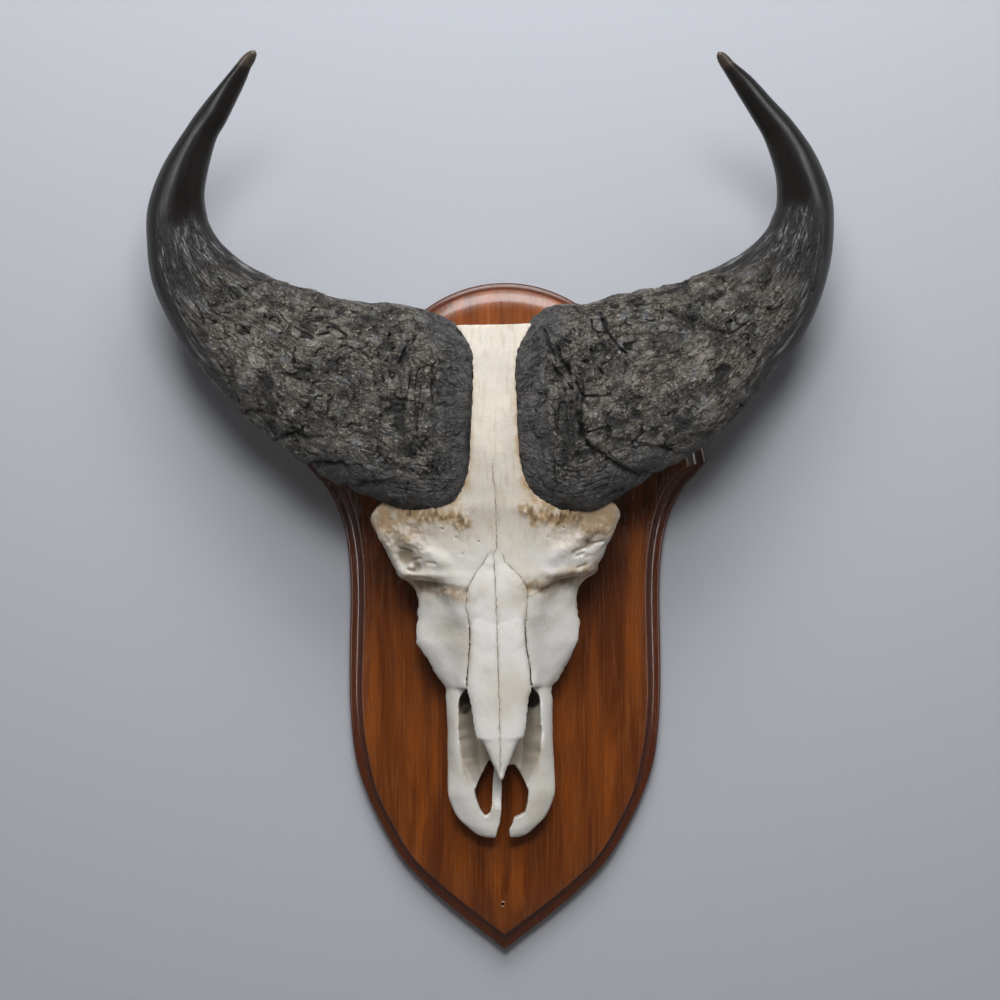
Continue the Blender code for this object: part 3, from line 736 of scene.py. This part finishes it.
def horn_keratin():
    """Horn, grown in layers: rough, matt and grey-brown on the boss, worn to a satin black-brown at the tip,
    with painted shade and painted highlight on the bark's grains and fine relief."""
    made, tree, shader = new_material("horn_keratin")
    station, fine, rim = kept_values(tree, "station", "fine", "rim")
    flow = add(tree, "Attribute", attribute_name="flow").outputs["Vector"]
    patches = spots(tree, 34, Detail=3.0)
    blotches = spots(tree, 17, Detail=5.0, Roughness=0.65)
    brown = spots(tree, 11, Detail=5.0, Roughness=0.62)
    grains = spots(tree, 2.6, Roughness=0.65)
    specks = spots(tree, 1.1, Detail=2.0)
    streaks = spots(tree, (2.0, 2.0, 30), flow, Roughness=0.62)
    broad = spots(tree, (11, 11, 70), flow, Detail=3.0, Roughness=0.6)

    # Thin splits along the horn, and chinks between its scales
    torn = spots(tree, (4.4, 4.4, 17), flow, Detail=3.0, Roughness=0.6, Distortion=0.5)
    off_split = add(tree, "Math", {0: heap(tree, torn, (1.0, -0.5))}, operation="ABSOLUTE").outputs["Value"]
    split_line = share_where(tree, 1.0, (off_split, 0.035, 0.008), (brown, 0.42, 0.56))
    cells = {"Vector": stretched(tree, (4.4, 4.4, 17), flow), "Scale": 0.8}
    off_edge = add(tree, "TexVoronoi", cells, feature="DISTANCE_TO_EDGE").outputs["Distance"]
    chinks = share_where(tree, 1.0, (off_edge, 0.09, 0.01), (grains, 0.44, 0.58))

    bark = washes(
        tree, "#3a3732",
        ("#625c53", 1.0, (patches, 0.38, 0.62)),
        ("#2e2218", 0.75, (brown, 0.5, 0.66)),
        ("#1b1714", 0.7, (blotches, 0.54, 0.68)),
        ("#656a70", 0.8, (brown, 0.46, 0.3)),
        # Painted highlight on the tops of the grains and painted shade between them
        ("#aba294", 0.8, (grains, 0.54, 0.7)),
        ("#0f0c0a", 0.85, (grains, 0.47, 0.34)),
        # Painted shade in the low parts of the fine relief and grooves, painted highlight on its raised
        # parts
        ("#0b0907", 0.95, (fine, -0.3, -1.7)),
        ("#8a857b", 0.6, (fine, 0.4, 1.7)),
        ("#0d0b0a", 0.85, split_line),
        ("#100d0b", 0.5, chinks),
        ("#37383c", 0.6, rim),
    )
    tip = wash(tree, "#0d0b0a", "#191412", 1.0, (streaks, 0.35, 0.7))
    tip = wash(tree, tip, "#5d5247", 0.8, (station, 0.3, -0.15))
    worn = wash(tree, "#1d1917", "#a2a2a4", 1.0, (streaks, 0.46, 0.62))
    smooth_horn = wash(tree, tip, worn, 1.0, (station, 5.5, 6.6), (station, 11.0, 8.0), (broad, 0.4, 0.62))
    bark_edge = heap(tree, station, (broad, 2.2))
    colour = wash(tree, smooth_horn, bark, 1.0, (bark_edge, 8.2, 10.4))
    tree.links.new(colour, shader.inputs["Base Color"])

    polish = share_where(tree, 0.46, (station, 4.0, 8.0), least=0.36)
    dulled = share_where(tree, 0.1, (specks, 0.3, 0.7), least=-0.05)
    tree.links.new(heap(tree, polish, (dulled, 1.0)), shader.inputs["Roughness"])

    grit = heap(tree, grains, (specks, 0.4), (split_line, -0.7), (chinks, -0.6))
    grit = share_where(tree, grit, (station, 5.0, 8.5))
    thread = share_where(tree, 1.0, (station, 4.5, 7.0), least=0.05)
    fibre = share_where(tree, 0.5, (station, 11.0, 7.0), streaks, thread)
    height = heap(tree, grit, (fibre, 1.0))
    raised = add(tree, "Bump", {"Height": height, "Strength": 1.0, "Distance": 0.0022})
    tree.links.new(raised.outputs["Normal"], shader.inputs["Normal"])
    shader.inputs["IOR"].default_value = 1.55
    shader.inputs["Specular IOR Level"].default_value = 0.36
    return made


# Skull

def foot_height(h):
    """How far the lower edge of the face stands off the plaque."""
    heights, lifts = zip(*FOOT_LIFT, strict=True)
    return np.interp(h, heights, lifts)


def skull_body():
    """The cranium and face as one closed form, flat at the back and at the saw cut."""
    rings, segments = 330, 240
    cap = 0.06  # share of the rings across the saw cut

    def lay(ring, turn):
        share = ring / rings
        body = np.clip((share - cap) / (1 - cap - 0.02), 0, 1)
        rows = curve_at(SECTIONS, body * (len(SECTIONS) - 1))
        h, ridge, s1, d1, s2, d2, s3, d3, s4, d4, foot = rows.T
        low = foot_height(h)
        line = np.stack([
            np.column_stack((-s1, d1)), np.column_stack((0 * h, ridge)), np.column_stack((s1, d1)),
            np.column_stack((s2, d2)), np.column_stack((s3, d3)), np.column_stack((s4, d4)),
            np.column_stack((foot, low)), np.column_stack((foot, low)),
        ], axis=1)
        half = np.minimum(turn, segments - turn) / (segments / 2)
        side = np.where(turn <= segments / 2, 1, -1)
        along = np.clip(half / 0.8, 0, 1) * 5
        start = np.clip(np.floor(along).astype(int), 0, 4)
        u = (along - start)[:, None]
        row = np.arange(len(ring))
        p, q, r, w = (line[row, start + k] for k in range(4))
        bend = (2 * p - 5 * q + 4 * r - w) * u**2 + (3 * q - p - 3 * r + w) * u**3
        flat = 0.5 * (2 * q + (r - p) * u + bend)
        s = flat[:, 0] * (1 - np.clip((half - 0.8) / 0.2, 0, 1))
        d = np.maximum(flat[:, 1], low)
        shrink = end_size(share, cap, 0.02)
        middle = (ridge + low) / 2
        return np.column_stack((side * s * shrink, h, middle + (d - middle) * shrink))

    return rolled("skull_bone", segments, rings, lay)


def nasal_blade():
    """The two nasal bones, a thin blade over the nose opening."""
    rings, segments = 160, 80

    def lay(ring, turn):
        share = ring / rings
        h, half, ridge = curve_at(NASALS, share * (len(NASALS) - 1)).T
        size = np.sqrt(end_size(share, 0.02, 0.02))
        angle = 2 * math.pi * turn / segments
        across = np.cos(angle)
        drop = NASAL_DROP * (0.3 * across**2 + 0.7 * across**8)
        wall = NASAL_WALL * 0.5 * (1 - 0.55 * across**2)
        deep = ridge - drop - wall + wall * np.sign(np.sin(angle)) * np.abs(np.sin(angle)) ** 0.6
        return np.column_stack((half * across * size, h, ridge - 3 + (deep - ridge + 3) * size))

    return rolled("nasals", segments, rings, lay)


def nose_opening():
    """The hollow that is cut out for the nose."""
    rings, segments = 120, 96

    def lay(ring, turn):
        share = ring / rings
        h, top_half, top, floor_half, floor = curve_at(OPENING, share * (len(OPENING) - 1)).T
        size = end_size(share, 0.02, 0.02)
        wall = np.minimum(top, floor + WALL_FOOT)
        corners = np.stack([
            np.column_stack((0 * h, floor)), np.column_stack((floor_half, floor)),
            np.column_stack((top_half, wall)), np.column_stack((top_half, top)),
            np.column_stack((0 * h, top)),
        ], axis=1)
        half = np.minimum(turn, segments - turn) / (segments / 2) * 4
        start = np.clip(np.floor(half).astype(int), 0, 3)
        u = (half - start)[:, None]
        row = np.arange(len(ring))
        flat = corners[row, start] * (1 - u) + corners[row, start + 1] * u
        side = np.where(turn <= segments / 2, 1, -1)
        ragged = 1 + 0.025 * rough(np.column_stack((side * 40, h, 0 * h)), 4.0, 5)
        middle = (floor + top) / 2
        s = side * flat[:, 0] * size * ragged
        return np.column_stack((s, h, middle + (flat[:, 1] - middle) * size))

    return rolled("nose_opening", segments, rings, lay)


def prism(name, outline, low, high):
    """An upright block through an outline in the plane of the wall, from d low to d high."""
    bpy.ops.mesh.primitive_circle_add(vertices=len(outline), fill_type="NGON")
    piece = bpy.context.object
    piece.name = name
    move_to(piece, np.array([(s, h, high) for s, h in outline]))
    bpy.ops.object.mode_set(mode="EDIT")
    bpy.ops.mesh.select_all(action="SELECT")
    bpy.ops.mesh.extrude_region_move(TRANSFORM_OT_translate={"value": (0, (high - low) * MM, 0)})
    bpy.ops.mesh.select_all(action="SELECT")
    bpy.ops.mesh.normals_make_consistent(inside=False)
    bpy.ops.mesh.quads_convert_to_tris()
    bpy.ops.object.mode_set(mode="OBJECT")
    bpy.ops.object.select_all(action="DESELECT")
    return piece


def ellipsoid(name, centre, half, turn_deg=0.0):
    """An egg-shaped form about a centre, with its half sizes along s, h and d."""
    s, h, d = centre
    bpy.ops.mesh.primitive_uv_sphere_add(segments=48, ring_count=32, radius=1)
    piece = bpy.context.object
    piece.name = name
    piece.scale = (half[0] * MM, half[2] * MM, half[1] * MM)
    piece.location = (s * MM, -d * MM, h * MM)
    piece.rotation_euler = (0, math.radians(turn_deg), 0)
    fix_place(piece)
    return piece


def eye_ring(side):
    """The round rim of an eye socket, on the viewer's left (-1) or right (1)."""
    s, h, d = EYE_CENTRE
    bpy.ops.mesh.primitive_torus_add(
        major_radius=EYE_RING_RADIUS * MM,
        minor_radius=EYE_RING_THICK * MM,
        major_segments=64,
        minor_segments=20,
        location=(side * s * MM, -d * MM, h * MM),
        rotation=(0, math.pi / 2 + side * math.radians(EYE_TURN_DEG), 0),
    )
    piece = bpy.context.object
    fix_place(piece)
    return piece


def wavering(places):
    """Points of the face shifted a little, so that a line through them wavers as a suture does."""
    shift = 0.55 * np.column_stack((rough(places, 3.4, 53), rough(places, 4.1, 54)))
    return places[:, :2] + shift


def skull_relief(places, facing):
    """How far the bone stands out at each point, in millimetres, and how knobbly and how near a brow it
    is."""
    flat = places[:, :2]
    s, h, d = places.T
    total = 0.35 * layers(places, 16, 31, 3)
    by_eye = np.linalg.norm(np.column_stack((np.abs(s), h, d)) - EYE_CENTRE, axis=1)
    total += (1.1 * layers(places, 15, 33, 3) - 0.4) * smooth_step(46, 30, by_eye)

    front = 0
    for line, height, width in BROW_RIDGES:
        front += height * near_line(flat, line, width)
    for line, height, width in BROW_LEDGES:
        front += ledge(flat, line, height, width)
    for centre, radius, height in BROW_BUMPS:
        front += bump_at(flat, centre, radius, height)
    for line in BROW_CREASES:
        front += crease(flat, line, 1.6, 1.5)
    brow = np.exp(-(((np.abs(s) - 90) / 26) ** 2 + ((h + 207) / 26) ** 2))
    pocked = smooth_step(0.4, 0.15, pits(places, 6, 43))
    front += brow * (1.4 * plates(layers(places, 10, 41, 3), 2.5) - 0.6 * pocked)
    for centre in FORAMINA:
        front += bump_at(flat, centre, 1.2, -1.0)
    wavy = wavering(places)
    front += crease(wavy, MIDLINE, 0.45, 0.9) + crease(flat, MIDLINE, 0.5, 5)
    slots = smooth_step(-276, -290, h)
    for line in (SUTURE_LEFT, SUTURE_RIGHT):
        front += crease(wavy, line, 0.5, 0.9) * (1 + 2.2 * slots) + crease(flat, line, 0.4, 5)
    uneven = 1 + 0.7 * rough(places, 12, 65)
    front += (crease(flat, STEP_LEFT, 1.8, 4.0) + crease(flat, STEP_RIGHT, 1.5, 4.0)) * uneven
    burr = np.zeros(len(s))
    blown = flat + 3.5 * np.column_stack((rough(places, 9, 63), rough(places, 9, 64)))
    for line in (BURRS_LEFT, BURRS_RIGHT):
        burr += near_line(blown, line, 7.0)
    knots = rough(places, (3.2, 8, 8), 61) + 0.5 * rough(places, (2.2, 4, 4), 62)
    front += burr * (0.8 + 1.7 * knots)
    total += front * facing
    spongy = smooth_step(-3.0, -0.5, h)
    total -= 1.3 * spongy * smooth_step(0.5, 0.2, pits(places, 3.2, 71))
    return total, burr * np.clip(0.6 - 0.7 * knots, 0.1, 1), brow


def ragged_edge(places, facing):
    """The broken outer edges of the cheeks, as a shift in s."""
    s, h, _ = places.T
    at = np.column_stack((np.sign(s) * 50, h, 0 * h))
    outer = smooth_step(40, 52, np.abs(s)) * smooth_step(-262, -272, h) * smooth_step(-372, -360, h)
    broken = 1.6 * plates(rough(at, 8, 81) + 0.5 * rough(at, 4, 82), 2) + 0.6
    return -np.sign(s) * outer * (1 - 0.9 * facing) * broken


def soften(piece, centres, radius):
    """Smooths the bone near the given places, so that parts joined there run into one another."""
    places = positions(piece)
    near = piece.vertex_groups.new(name="near")
    for centre in centres:
        away = np.linalg.norm(places - np.array(centre), axis=1)
        for share, limit in ((0.4, radius), (1.0, 0.8 * radius)):
            near.add(np.nonzero(away < limit)[0].tolist(), share, "REPLACE")
    apply_step(piece, "SMOOTH", factor=0.8, iterations=22, vertex_group="near")
    piece.vertex_groups.clear()


def keep_bone_marks(piece, places, facing, relief, burr, brow):
    """Keeps at each point what the bone's material reads: sutures, stains, and where it paints shade: in
    open sutures (slots) and vessel holes, below the brow creases, in sunk parts and in the nose opening.
    """
    flat = places[:, :2]
    s, h, d = places.T
    wavy = wavering(places)
    gap_shade = np.zeros(len(s))
    note(piece, "midline", reach(wavy, MIDLINE))
    note(piece, "suture_left", reach(wavy, SUTURE_LEFT))
    note(piece, "suture_right", reach(wavy, SUTURE_RIGHT))
    small = np.full(len(s), 99.0)
    for line in (LACRIMAL_LEFT, LACRIMAL_RIGHT, CHEEK_CRACK):
        small = np.minimum(small, np.abs(reach(wavy, line)))
    note(piece, "small_suture", small)
    # Painted shade in the open stretches of the sutures and in the vessel holes
    dashed = smooth_step(-0.35, 0.15, rough(np.column_stack((0 * h, h, 0 * h)), 6.5, 55))
    dashed = smooth_step(-278, -292, h) * dashed
    for line in (SUTURE_LEFT, SUTURE_RIGHT):
        gap_shade = np.maximum(gap_shade, near_line(wavy, line, 0.8) * dashed)
    for centre in FORAMINA:
        gap_shade = np.maximum(gap_shade, bump_at(flat, centre, 1.0, 1.0) * facing)
    note(piece, "gap_shade", gap_shade)
    note(piece, "umber", burr * facing)
    stain = bump_at(flat, (-111, -187), 13, 1.0) + bump_at(flat, (106, -190), 15, 1.0) + 0.5 * brow
    # Painted shade below the creases under the brows, kept with the real stains
    for line in (STEP_LEFT, STEP_RIGHT):
        stain += 0.8 * np.exp(-(((reach(flat, line) + 3) / 11) ** 2))
    for line in (BURRS_LEFT, BURRS_RIGHT):
        stain += 0.55 * np.exp(-np.abs(reach(flat, line)) / 11)
    by_horn = np.minimum(np.abs(reach(flat, RIM_LEFT)), np.abs(reach(flat, RIM_RIGHT)))
    stain += 0.9 * np.exp(-by_horn / 6) * smooth_step(-10, -80, h)
    note(piece, "ochre_and_brow_shade", stain)
    note(piece, "frontal", smooth_step(-232, -200, h))
    # Painted shade in the nose opening: near black at its deep top under the nasals, olive-brown on its
    # inner walls
    nose_h, nose_half = np.array(OPENING)[::-1, :2].T
    within = smooth_step(1.5, -0.5, np.abs(s) - np.interp(h, nose_h, nose_half))
    dark_end = -379 + 5 * rough(places, 12, 83)
    dark = smooth_step(dark_end - 5, dark_end + 5, h) * smooth_step(-284, -294, h)
    note(piece, "nose_shade", within * dark * smooth_step(62, 58, d))
    note(piece, "inner", within * smooth_step(62, 50, d) * smooth_step(-465, -425, h))
    # Painted shade in the sunk parts of the bone
    note(piece, "low", np.clip(-relief, 0, 6))


def skull_bone(finish):
    """The whole upper skull as one piece of bone."""
    piece = skull_body()
    cut(piece, nose_opening())
    cut(piece, nasal_blade(), "UNION")
    for name, outline in (("palate_left", PALATE_LEFT), ("palate_right", PALATE_RIGHT)):
        cut(piece, prism(name, outline, -5, 48))
    s, h, d = EYE_CENTRE
    for side in (-1, 1):
        cut(piece, eye_ring(side), "UNION")
        cut(piece, ellipsoid("socket", (side * s, h, d), SOCKET_HALF, side * EYE_TURN_DEG))
        cut(piece, ellipsoid("temple", (side * TEMPLE_CENTRE[0], *TEMPLE_CENTRE[1:]), TEMPLE_HALF))
    cut(piece, horn_seat(HORN_LEFT, TIP_LEFT, BOSS_END_LEFT))
    cut(piece, horn_seat(HORN_RIGHT, TIP_RIGHT, BOSS_END_RIGHT))
    apply_step(piece, "REMESH", mode="VOXEL", voxel_size=BONE_GRID * MM)
    apply_step(piece, "SMOOTH", factor=0.5, iterations=3)
    soften(piece, [(side * (s + 3), h, d - 1) for side in (-1, 1)], 42)

    places = positions(piece)
    facing = smooth_step(0.1, 0.6, outwards(piece)[:, 2])
    relief, burr, brow = skull_relief(places, facing)
    push(piece, relief)
    places = positions(piece)
    places[:, 0] += ragged_edge(places, facing)
    move_to(piece, places)
    keep_bone_marks(piece, places, facing, relief, burr, brow)
    thin_to(piece, MOST_TRIANGLES)
    pick(piece)
    bpy.ops.object.shade_smooth()
    hang(piece)
    piece.data.materials.clear()
    piece.data.materials.append(finish)
    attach(piece, "root")
    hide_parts("skull")
    return piece


def bleached_bone():
    """Old bone, boiled clean and bleached: chalky cream, a little translucent, stained where the horn sat,
    with painted shade in the nose opening, below the brow creases, in sunk parts, open sutures and vessel
    holes."""
    made, tree, shader = new_material("bleached_bone")
    frontal, ochre_and_brow_shade, umber, low, inner, gap_shade, nose_shade = kept_values(
        tree, "frontal", "ochre_and_brow_shade", "umber", "low", "inner", "gap_shade", "nose_shade",
    )
    clouds = spots(tree, 45, Detail=3.0)
    mottle = spots(tree, 9, Detail=5.0, Roughness=0.6)
    freckles = spots(tree, 4, Roughness=0.65)
    pores = spots(tree, 1.3, Detail=2.0)
    drawn = spots(tree, (4, 4, 34), Detail=3.0)
    ochre_and_brow_shade = share_where(tree, ochre_and_brow_shade, share_where(tree, 1.15, (mottle, 0.3, 0.65), least=0.45))
    umber = share_where(tree, umber, share_where(tree, 1.2, (freckles, 0.3, 0.65), least=0.7))
    colour = washes(
        tree, "#e3e1dd",
        ("#c3bcb1", frontal),
        ("#d3cbbb", 0.7, (clouds, 0.4, 0.68)),
        ("#c8b89c", 0.35, (mottle, 0.55, 0.78)),
        ("#8f795c", 0.4, (pores, 0.6, 0.72), frontal),
        ("#a89879", 0.45, (drawn, 0.5, 0.72), frontal),
        ("#7d6a50", 0.7, (freckles, 0.66, 0.74), frontal),
        # Yellow-brown stains, with painted shade below the brow creases
        ("#9c7c50", 0.85, (ochre_and_brow_shade, 0.05, 1.0)),
        ("#927447", 0.75, (umber, 0.05, 0.5)),
        ("#4f3a22", 0.7, (umber, 0.5, 0.95)),
        # Painted shade in the sunk parts of the bone
        ("#75603f", 0.7, (low, 0.7, 3.0)),
    )
    # Each suture is a thin dark line with a stain beside it
    broken = share_where(tree, 1.0, (mottle, 0.36, 0.56), least=0.35)
    for name in ("midline", "suture_left", "suture_right"):
        away = add(tree, "Math", {0: kept_values(tree, name)[0]}, operation="ABSOLUTE").outputs["Value"]
        colour = wash(tree, colour, "#43352a", 0.9, (away, 0.714, 0.126), broken)
        colour = wash(tree, colour, "#a89470", 0.16, (away, 4.0, 0.5))
    small = kept_values(tree, "small_suture")[0]
    colour = washes(
        tree, colour,
        ("#43352a", 0.9, (small, 0.595, 0.105), broken),
        # Painted shade on the inner walls of the nose opening
        ("#94805b", 0.55, inner),
        # Painted shade in the open sutures and vessel holes
        ("#221912", 0.95, (gap_shade, 0.25, 0.8)),
        # Painted shade at the deep top of the nose opening
        ("#1a120d", 0.97, (nose_shade, 0.1, 0.9)),
    )
    tree.links.new(colour, shader.inputs["Base Color"])
    tree.links.new(share_where(tree, 0.64, (mottle, 0.3, 0.7), least=0.48), shader.inputs["Roughness"])
    height = heap(tree, 0.0, (pores, -0.9), (freckles, 0.9))
    raised = add(tree, "Bump", {"Height": height, "Strength": 0.4, "Distance": 0.0008})
    tree.links.new(raised.outputs["Normal"], shader.inputs["Normal"])
    shader.inputs["Subsurface Weight"].default_value = 0.1
    shader.inputs["Subsurface Radius"].default_value = (1.0, 0.7, 0.45)
    shader.inputs["Subsurface Scale"].default_value = 0.002
    return made


# Plaque

def half_outline(radius, shoulder, ear, side, point):
    """The right-hand half from the top of the arch to the bottom point, evenly spaced, with its corners
    kept."""
    arch = []
    for i in range(25):
        angle = math.radians(90 - (90 - ARCH_END_DEG) * i / 24)
        arch.append((radius * math.cos(angle), ARCH_CENTRE_Z + radius * math.sin(angle)))
    runs = [(arch, 110), ([arch[-1], *shoulder, ear], 50), ([ear, *side, point], 300)]
    found = []
    for line, count in runs:
        found.append(curve_at(line, np.arange(count) / count * (len(line) - 1)))
    return np.concatenate([*found, [point]])


def plaque_board(finish):
    """One board with a moulded edge round a raised field."""
    outer = half_outline(ARCH_RADIUS, SHOULDER, EAR, SIDE, POINT)
    field = half_outline(FIELD_ARCH_RADIUS, FIELD_SHOULDER, FIELD_EAR, FIELD_SIDE, FIELD_POINT)
    outer, field = (np.concatenate((line, line[-2:0:-1] * (-1, 1))) for line in (outer, field))
    segments = len(outer)
    inner_rings = 12
    profile = [(0.05, 0.0)] + [(0.0, EDGE_PROFILE[0][1] * 0.4)] + EDGE_PROFILE
    rings = inner_rings + len(profile) + inner_rings - 1

    def lay(ring, turn):
        k = ring - inner_rings
        share = np.interp(k, range(len(profile)), [row[0] for row in profile])
        height = np.interp(k, range(len(profile)), [row[1] for row in profile])
        flat = outer[turn] + (field[turn] - outer[turn]) * share[:, None]
        front = np.where(k >= len(profile), (rings - ring) / inner_rings, 1.0)
        size = np.where(k < 0, ring / inner_rings, front)
        flat = FIELD_MIDDLE + (flat - FIELD_MIDDLE) * size[:, None]
        return np.column_stack((flat, height))

    piece = rolled("plaque_board", segments, rings, lay)
    bpy.ops.mesh.primitive_cylinder_add(
        vertices=32,
        radius=NAIL_RADIUS * MM,
        depth=16 * MM,
        location=(NAIL_HOLE[0] * MM, -PLAQUE_THICK * MM, NAIL_HOLE[1] * MM),
        rotation=(math.pi / 2, 0, 0),
    )
    drill = bpy.context.object
    fix_place(drill)
    cut(piece, drill, solver="EXACT")
    pick(piece)
    bpy.ops.object.shade_smooth_by_angle(angle=math.radians(35))
    piece.select_set(False)
    places = positions(piece)
    edge = smooth_step(21.9, 19.0, places[:, 2])
    note(piece, "edge", edge)
    note(piece, "hole", np.hypot(places[:, 0] - NAIL_HOLE[0], places[:, 1] - NAIL_HOLE[1]))
    piece.data.materials.clear()
    piece.data.materials.append(finish)
    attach(piece, "root")
    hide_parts("plaque")
    return piece


def varnished_mahogany():
    """Mahogany, stained red-brown and varnished: long vertical grain, short open pores, a gloss coat over
    them."""
    made, tree, shader = new_material("varnished_mahogany")
    edge, hole = kept_values(tree, "edge", "hole")
    flame = spots(tree, (34, 34, 230), Detail=3.0, Distortion=0.8)
    figure = spots(tree, (18, 18, 300), Distortion=0.3)
    grain = spots(tree, (2.2, 2.2, 70), Detail=5.0, Roughness=0.6)
    pores = spots(tree, (0.9, 0.9, 13), Detail=2.0)
    colour = washes(
        tree, "#7f4010",
        ("#592908", 1.0, (flame, 0.38, 0.62)),
        ("#4f2206", 0.5, (figure, 0.42, 0.7)),
        ("#a5672f", 0.3, (grain, 0.5, 0.75)),
        ("#3f1c0a", 0.4, (pores, 0.56, 0.74)),
        ("#4a1f0c", 0.85, (edge, 0.0, 0.8)),
        ("#b09a80", 0.8, (hole, 3.4, 2.6)),
        # Painted shade inside the nail hole
        ("#140a06", 1.0, (hole, 1.9, 1.5)),
    )
    tree.links.new(colour, shader.inputs["Base Color"])
    tree.links.new(share_where(tree, 0.38, (grain, 0.3, 0.7), least=0.26), shader.inputs["Roughness"])
    sunk = share_where(tree, 1.0, (pores, 0.52, 0.7))
    height = heap(tree, 0.0, (grain, 0.6), (sunk, -1.0))
    raised = add(tree, "Bump", {"Height": height, "Strength": 0.35, "Distance": 0.0004})
    tree.links.new(raised.outputs["Normal"], shader.inputs["Normal"])
    shader.inputs["Specular IOR Level"].default_value = 0.25
    shader.inputs["Coat Weight"].default_value = 0.4
    shader.inputs["Coat Roughness"].default_value = 0.13
    return made


# Stage

def plain_wall():
    """Matt paint for the wall, seen from the front alone, so that it hides nothing from behind."""
    made, tree, shader = new_material("matt_wall_paint")
    shader.inputs["Base Color"].default_value = linear("#a8abb2")
    shader.inputs["Roughness"].default_value = 0.9
    clear = add(tree, "BsdfTransparent")
    behind = add(tree, "NewGeometry").outputs["Backfacing"]
    out = tree.nodes["Material Output"]
    both = add(tree, "MixShader", {0: behind, 1: shader.outputs["BSDF"], 2: clear.outputs["BSDF"]})
    tree.links.new(both.outputs["Shader"], out.inputs["Surface"])
    return made


def plain_floor():
    """Pale matt paint for the floor."""
    made, _, shader = new_material("pale_floor_paint")
    shader.inputs["Base Color"].default_value = linear("#82807c")
    shader.inputs["Roughness"].default_value = 0.85
    return made


def set_stage():
    """The wall that the plaque hangs on, and a floor."""
    bpy.ops.mesh.primitive_plane_add(size=6, location=(0, 0.0015, 1.2), rotation=(math.pi / 2, 0, 0))
    wall = bpy.context.object
    wall.name = "wall"
    wall.data.materials.append(plain_wall())
    wall.visible_shadow = False
    wall.visible_diffuse = False
    bpy.ops.mesh.primitive_plane_add(size=8, location=(0, 0, -0.9))
    floor = bpy.context.object
    floor.name = "floor"
    floor.data.materials.append(plain_floor())
    bpy.ops.object.select_all(action="DESELECT")


def area_light(name, place, width, height, watts):
    """A soft box that the camera doesn't see, turned towards the skull."""
    bpy.ops.object.light_add(type="AREA", location=place)
    lamp = bpy.context.object
    lamp.name = name
    lamp.data.shape = "RECTANGLE"
    lamp.data.size = width
    lamp.data.size_y = height
    lamp.data.energy = watts
    way = np.array(LIGHTS_AIM) - np.array(place)
    flat = math.hypot(way[0], way[1])
    lamp.rotation_euler = (math.atan2(flat, -way[2]), 0, math.atan2(-way[0], way[1]))
    lamp.visible_camera = False
    return lamp


def set_lights():
    """Light from above for the wall and the bosses, strips for the gloss on the horns' edges."""
    area_light("overhead", (0, -2.3, 1.35), 1.2, 0.6, 41)
    area_light("ceiling", (0, -1.2, 1.9), 1.6, 0.8, 42)
    for name, side in (("left", -1), ("right", 1)):
        strip = area_light("strip_" + name, (side * 2.3, -1.7, 0.3), 0.26, 1.5, 26)
        strip.visible_diffuse = False
        area_light("side_" + name, (side * 2.4, 0.7, 0.7), 1.0, 1.0, 4)
    area_light("behind", (0, 2.4, 0.9), 1.6, 1.2, 24)
    world = bpy.data.worlds.new("studio")
    bpy.context.scene.world = world
    world.use_nodes = True
    world.node_tree.nodes["Background"].inputs["Color"].default_value = linear("#e9ecf2")
    world.node_tree.nodes["Background"].inputs["Strength"].default_value = 0.06
    bpy.context.scene.view_settings.view_transform = "Standard"


def set_camera():
    """The camera, straight in front as in the photograph."""
    bpy.ops.object.camera_add(location=CAMERA_PLACE, rotation=(math.pi / 2, 0, 0))
    camera = bpy.context.object
    camera.data.lens = CAMERA_LENS
    camera.data.sensor_width = 36
    bpy.context.scene.camera = camera


set_camera()
set_lights()
set_stage()
keratin = horn_keratin()
bone = bleached_bone()
mahogany = varnished_mahogany()
plaque_board(mahogany)
skull_bone(bone)
horn_sheath(
    "horn_left", HORN_LEFT, TIP_LEFT, BOSS_END_LEFT, RIM_LEFT, FOLDS_LEFT, CRACKS_LEFT, 100, keratin,
)
horn_sheath(
    "horn_right", HORN_RIGHT, TIP_RIGHT, BOSS_END_RIGHT, RIM_RIGHT, FOLDS_RIGHT, CRACKS_RIGHT, 200, keratin,
)
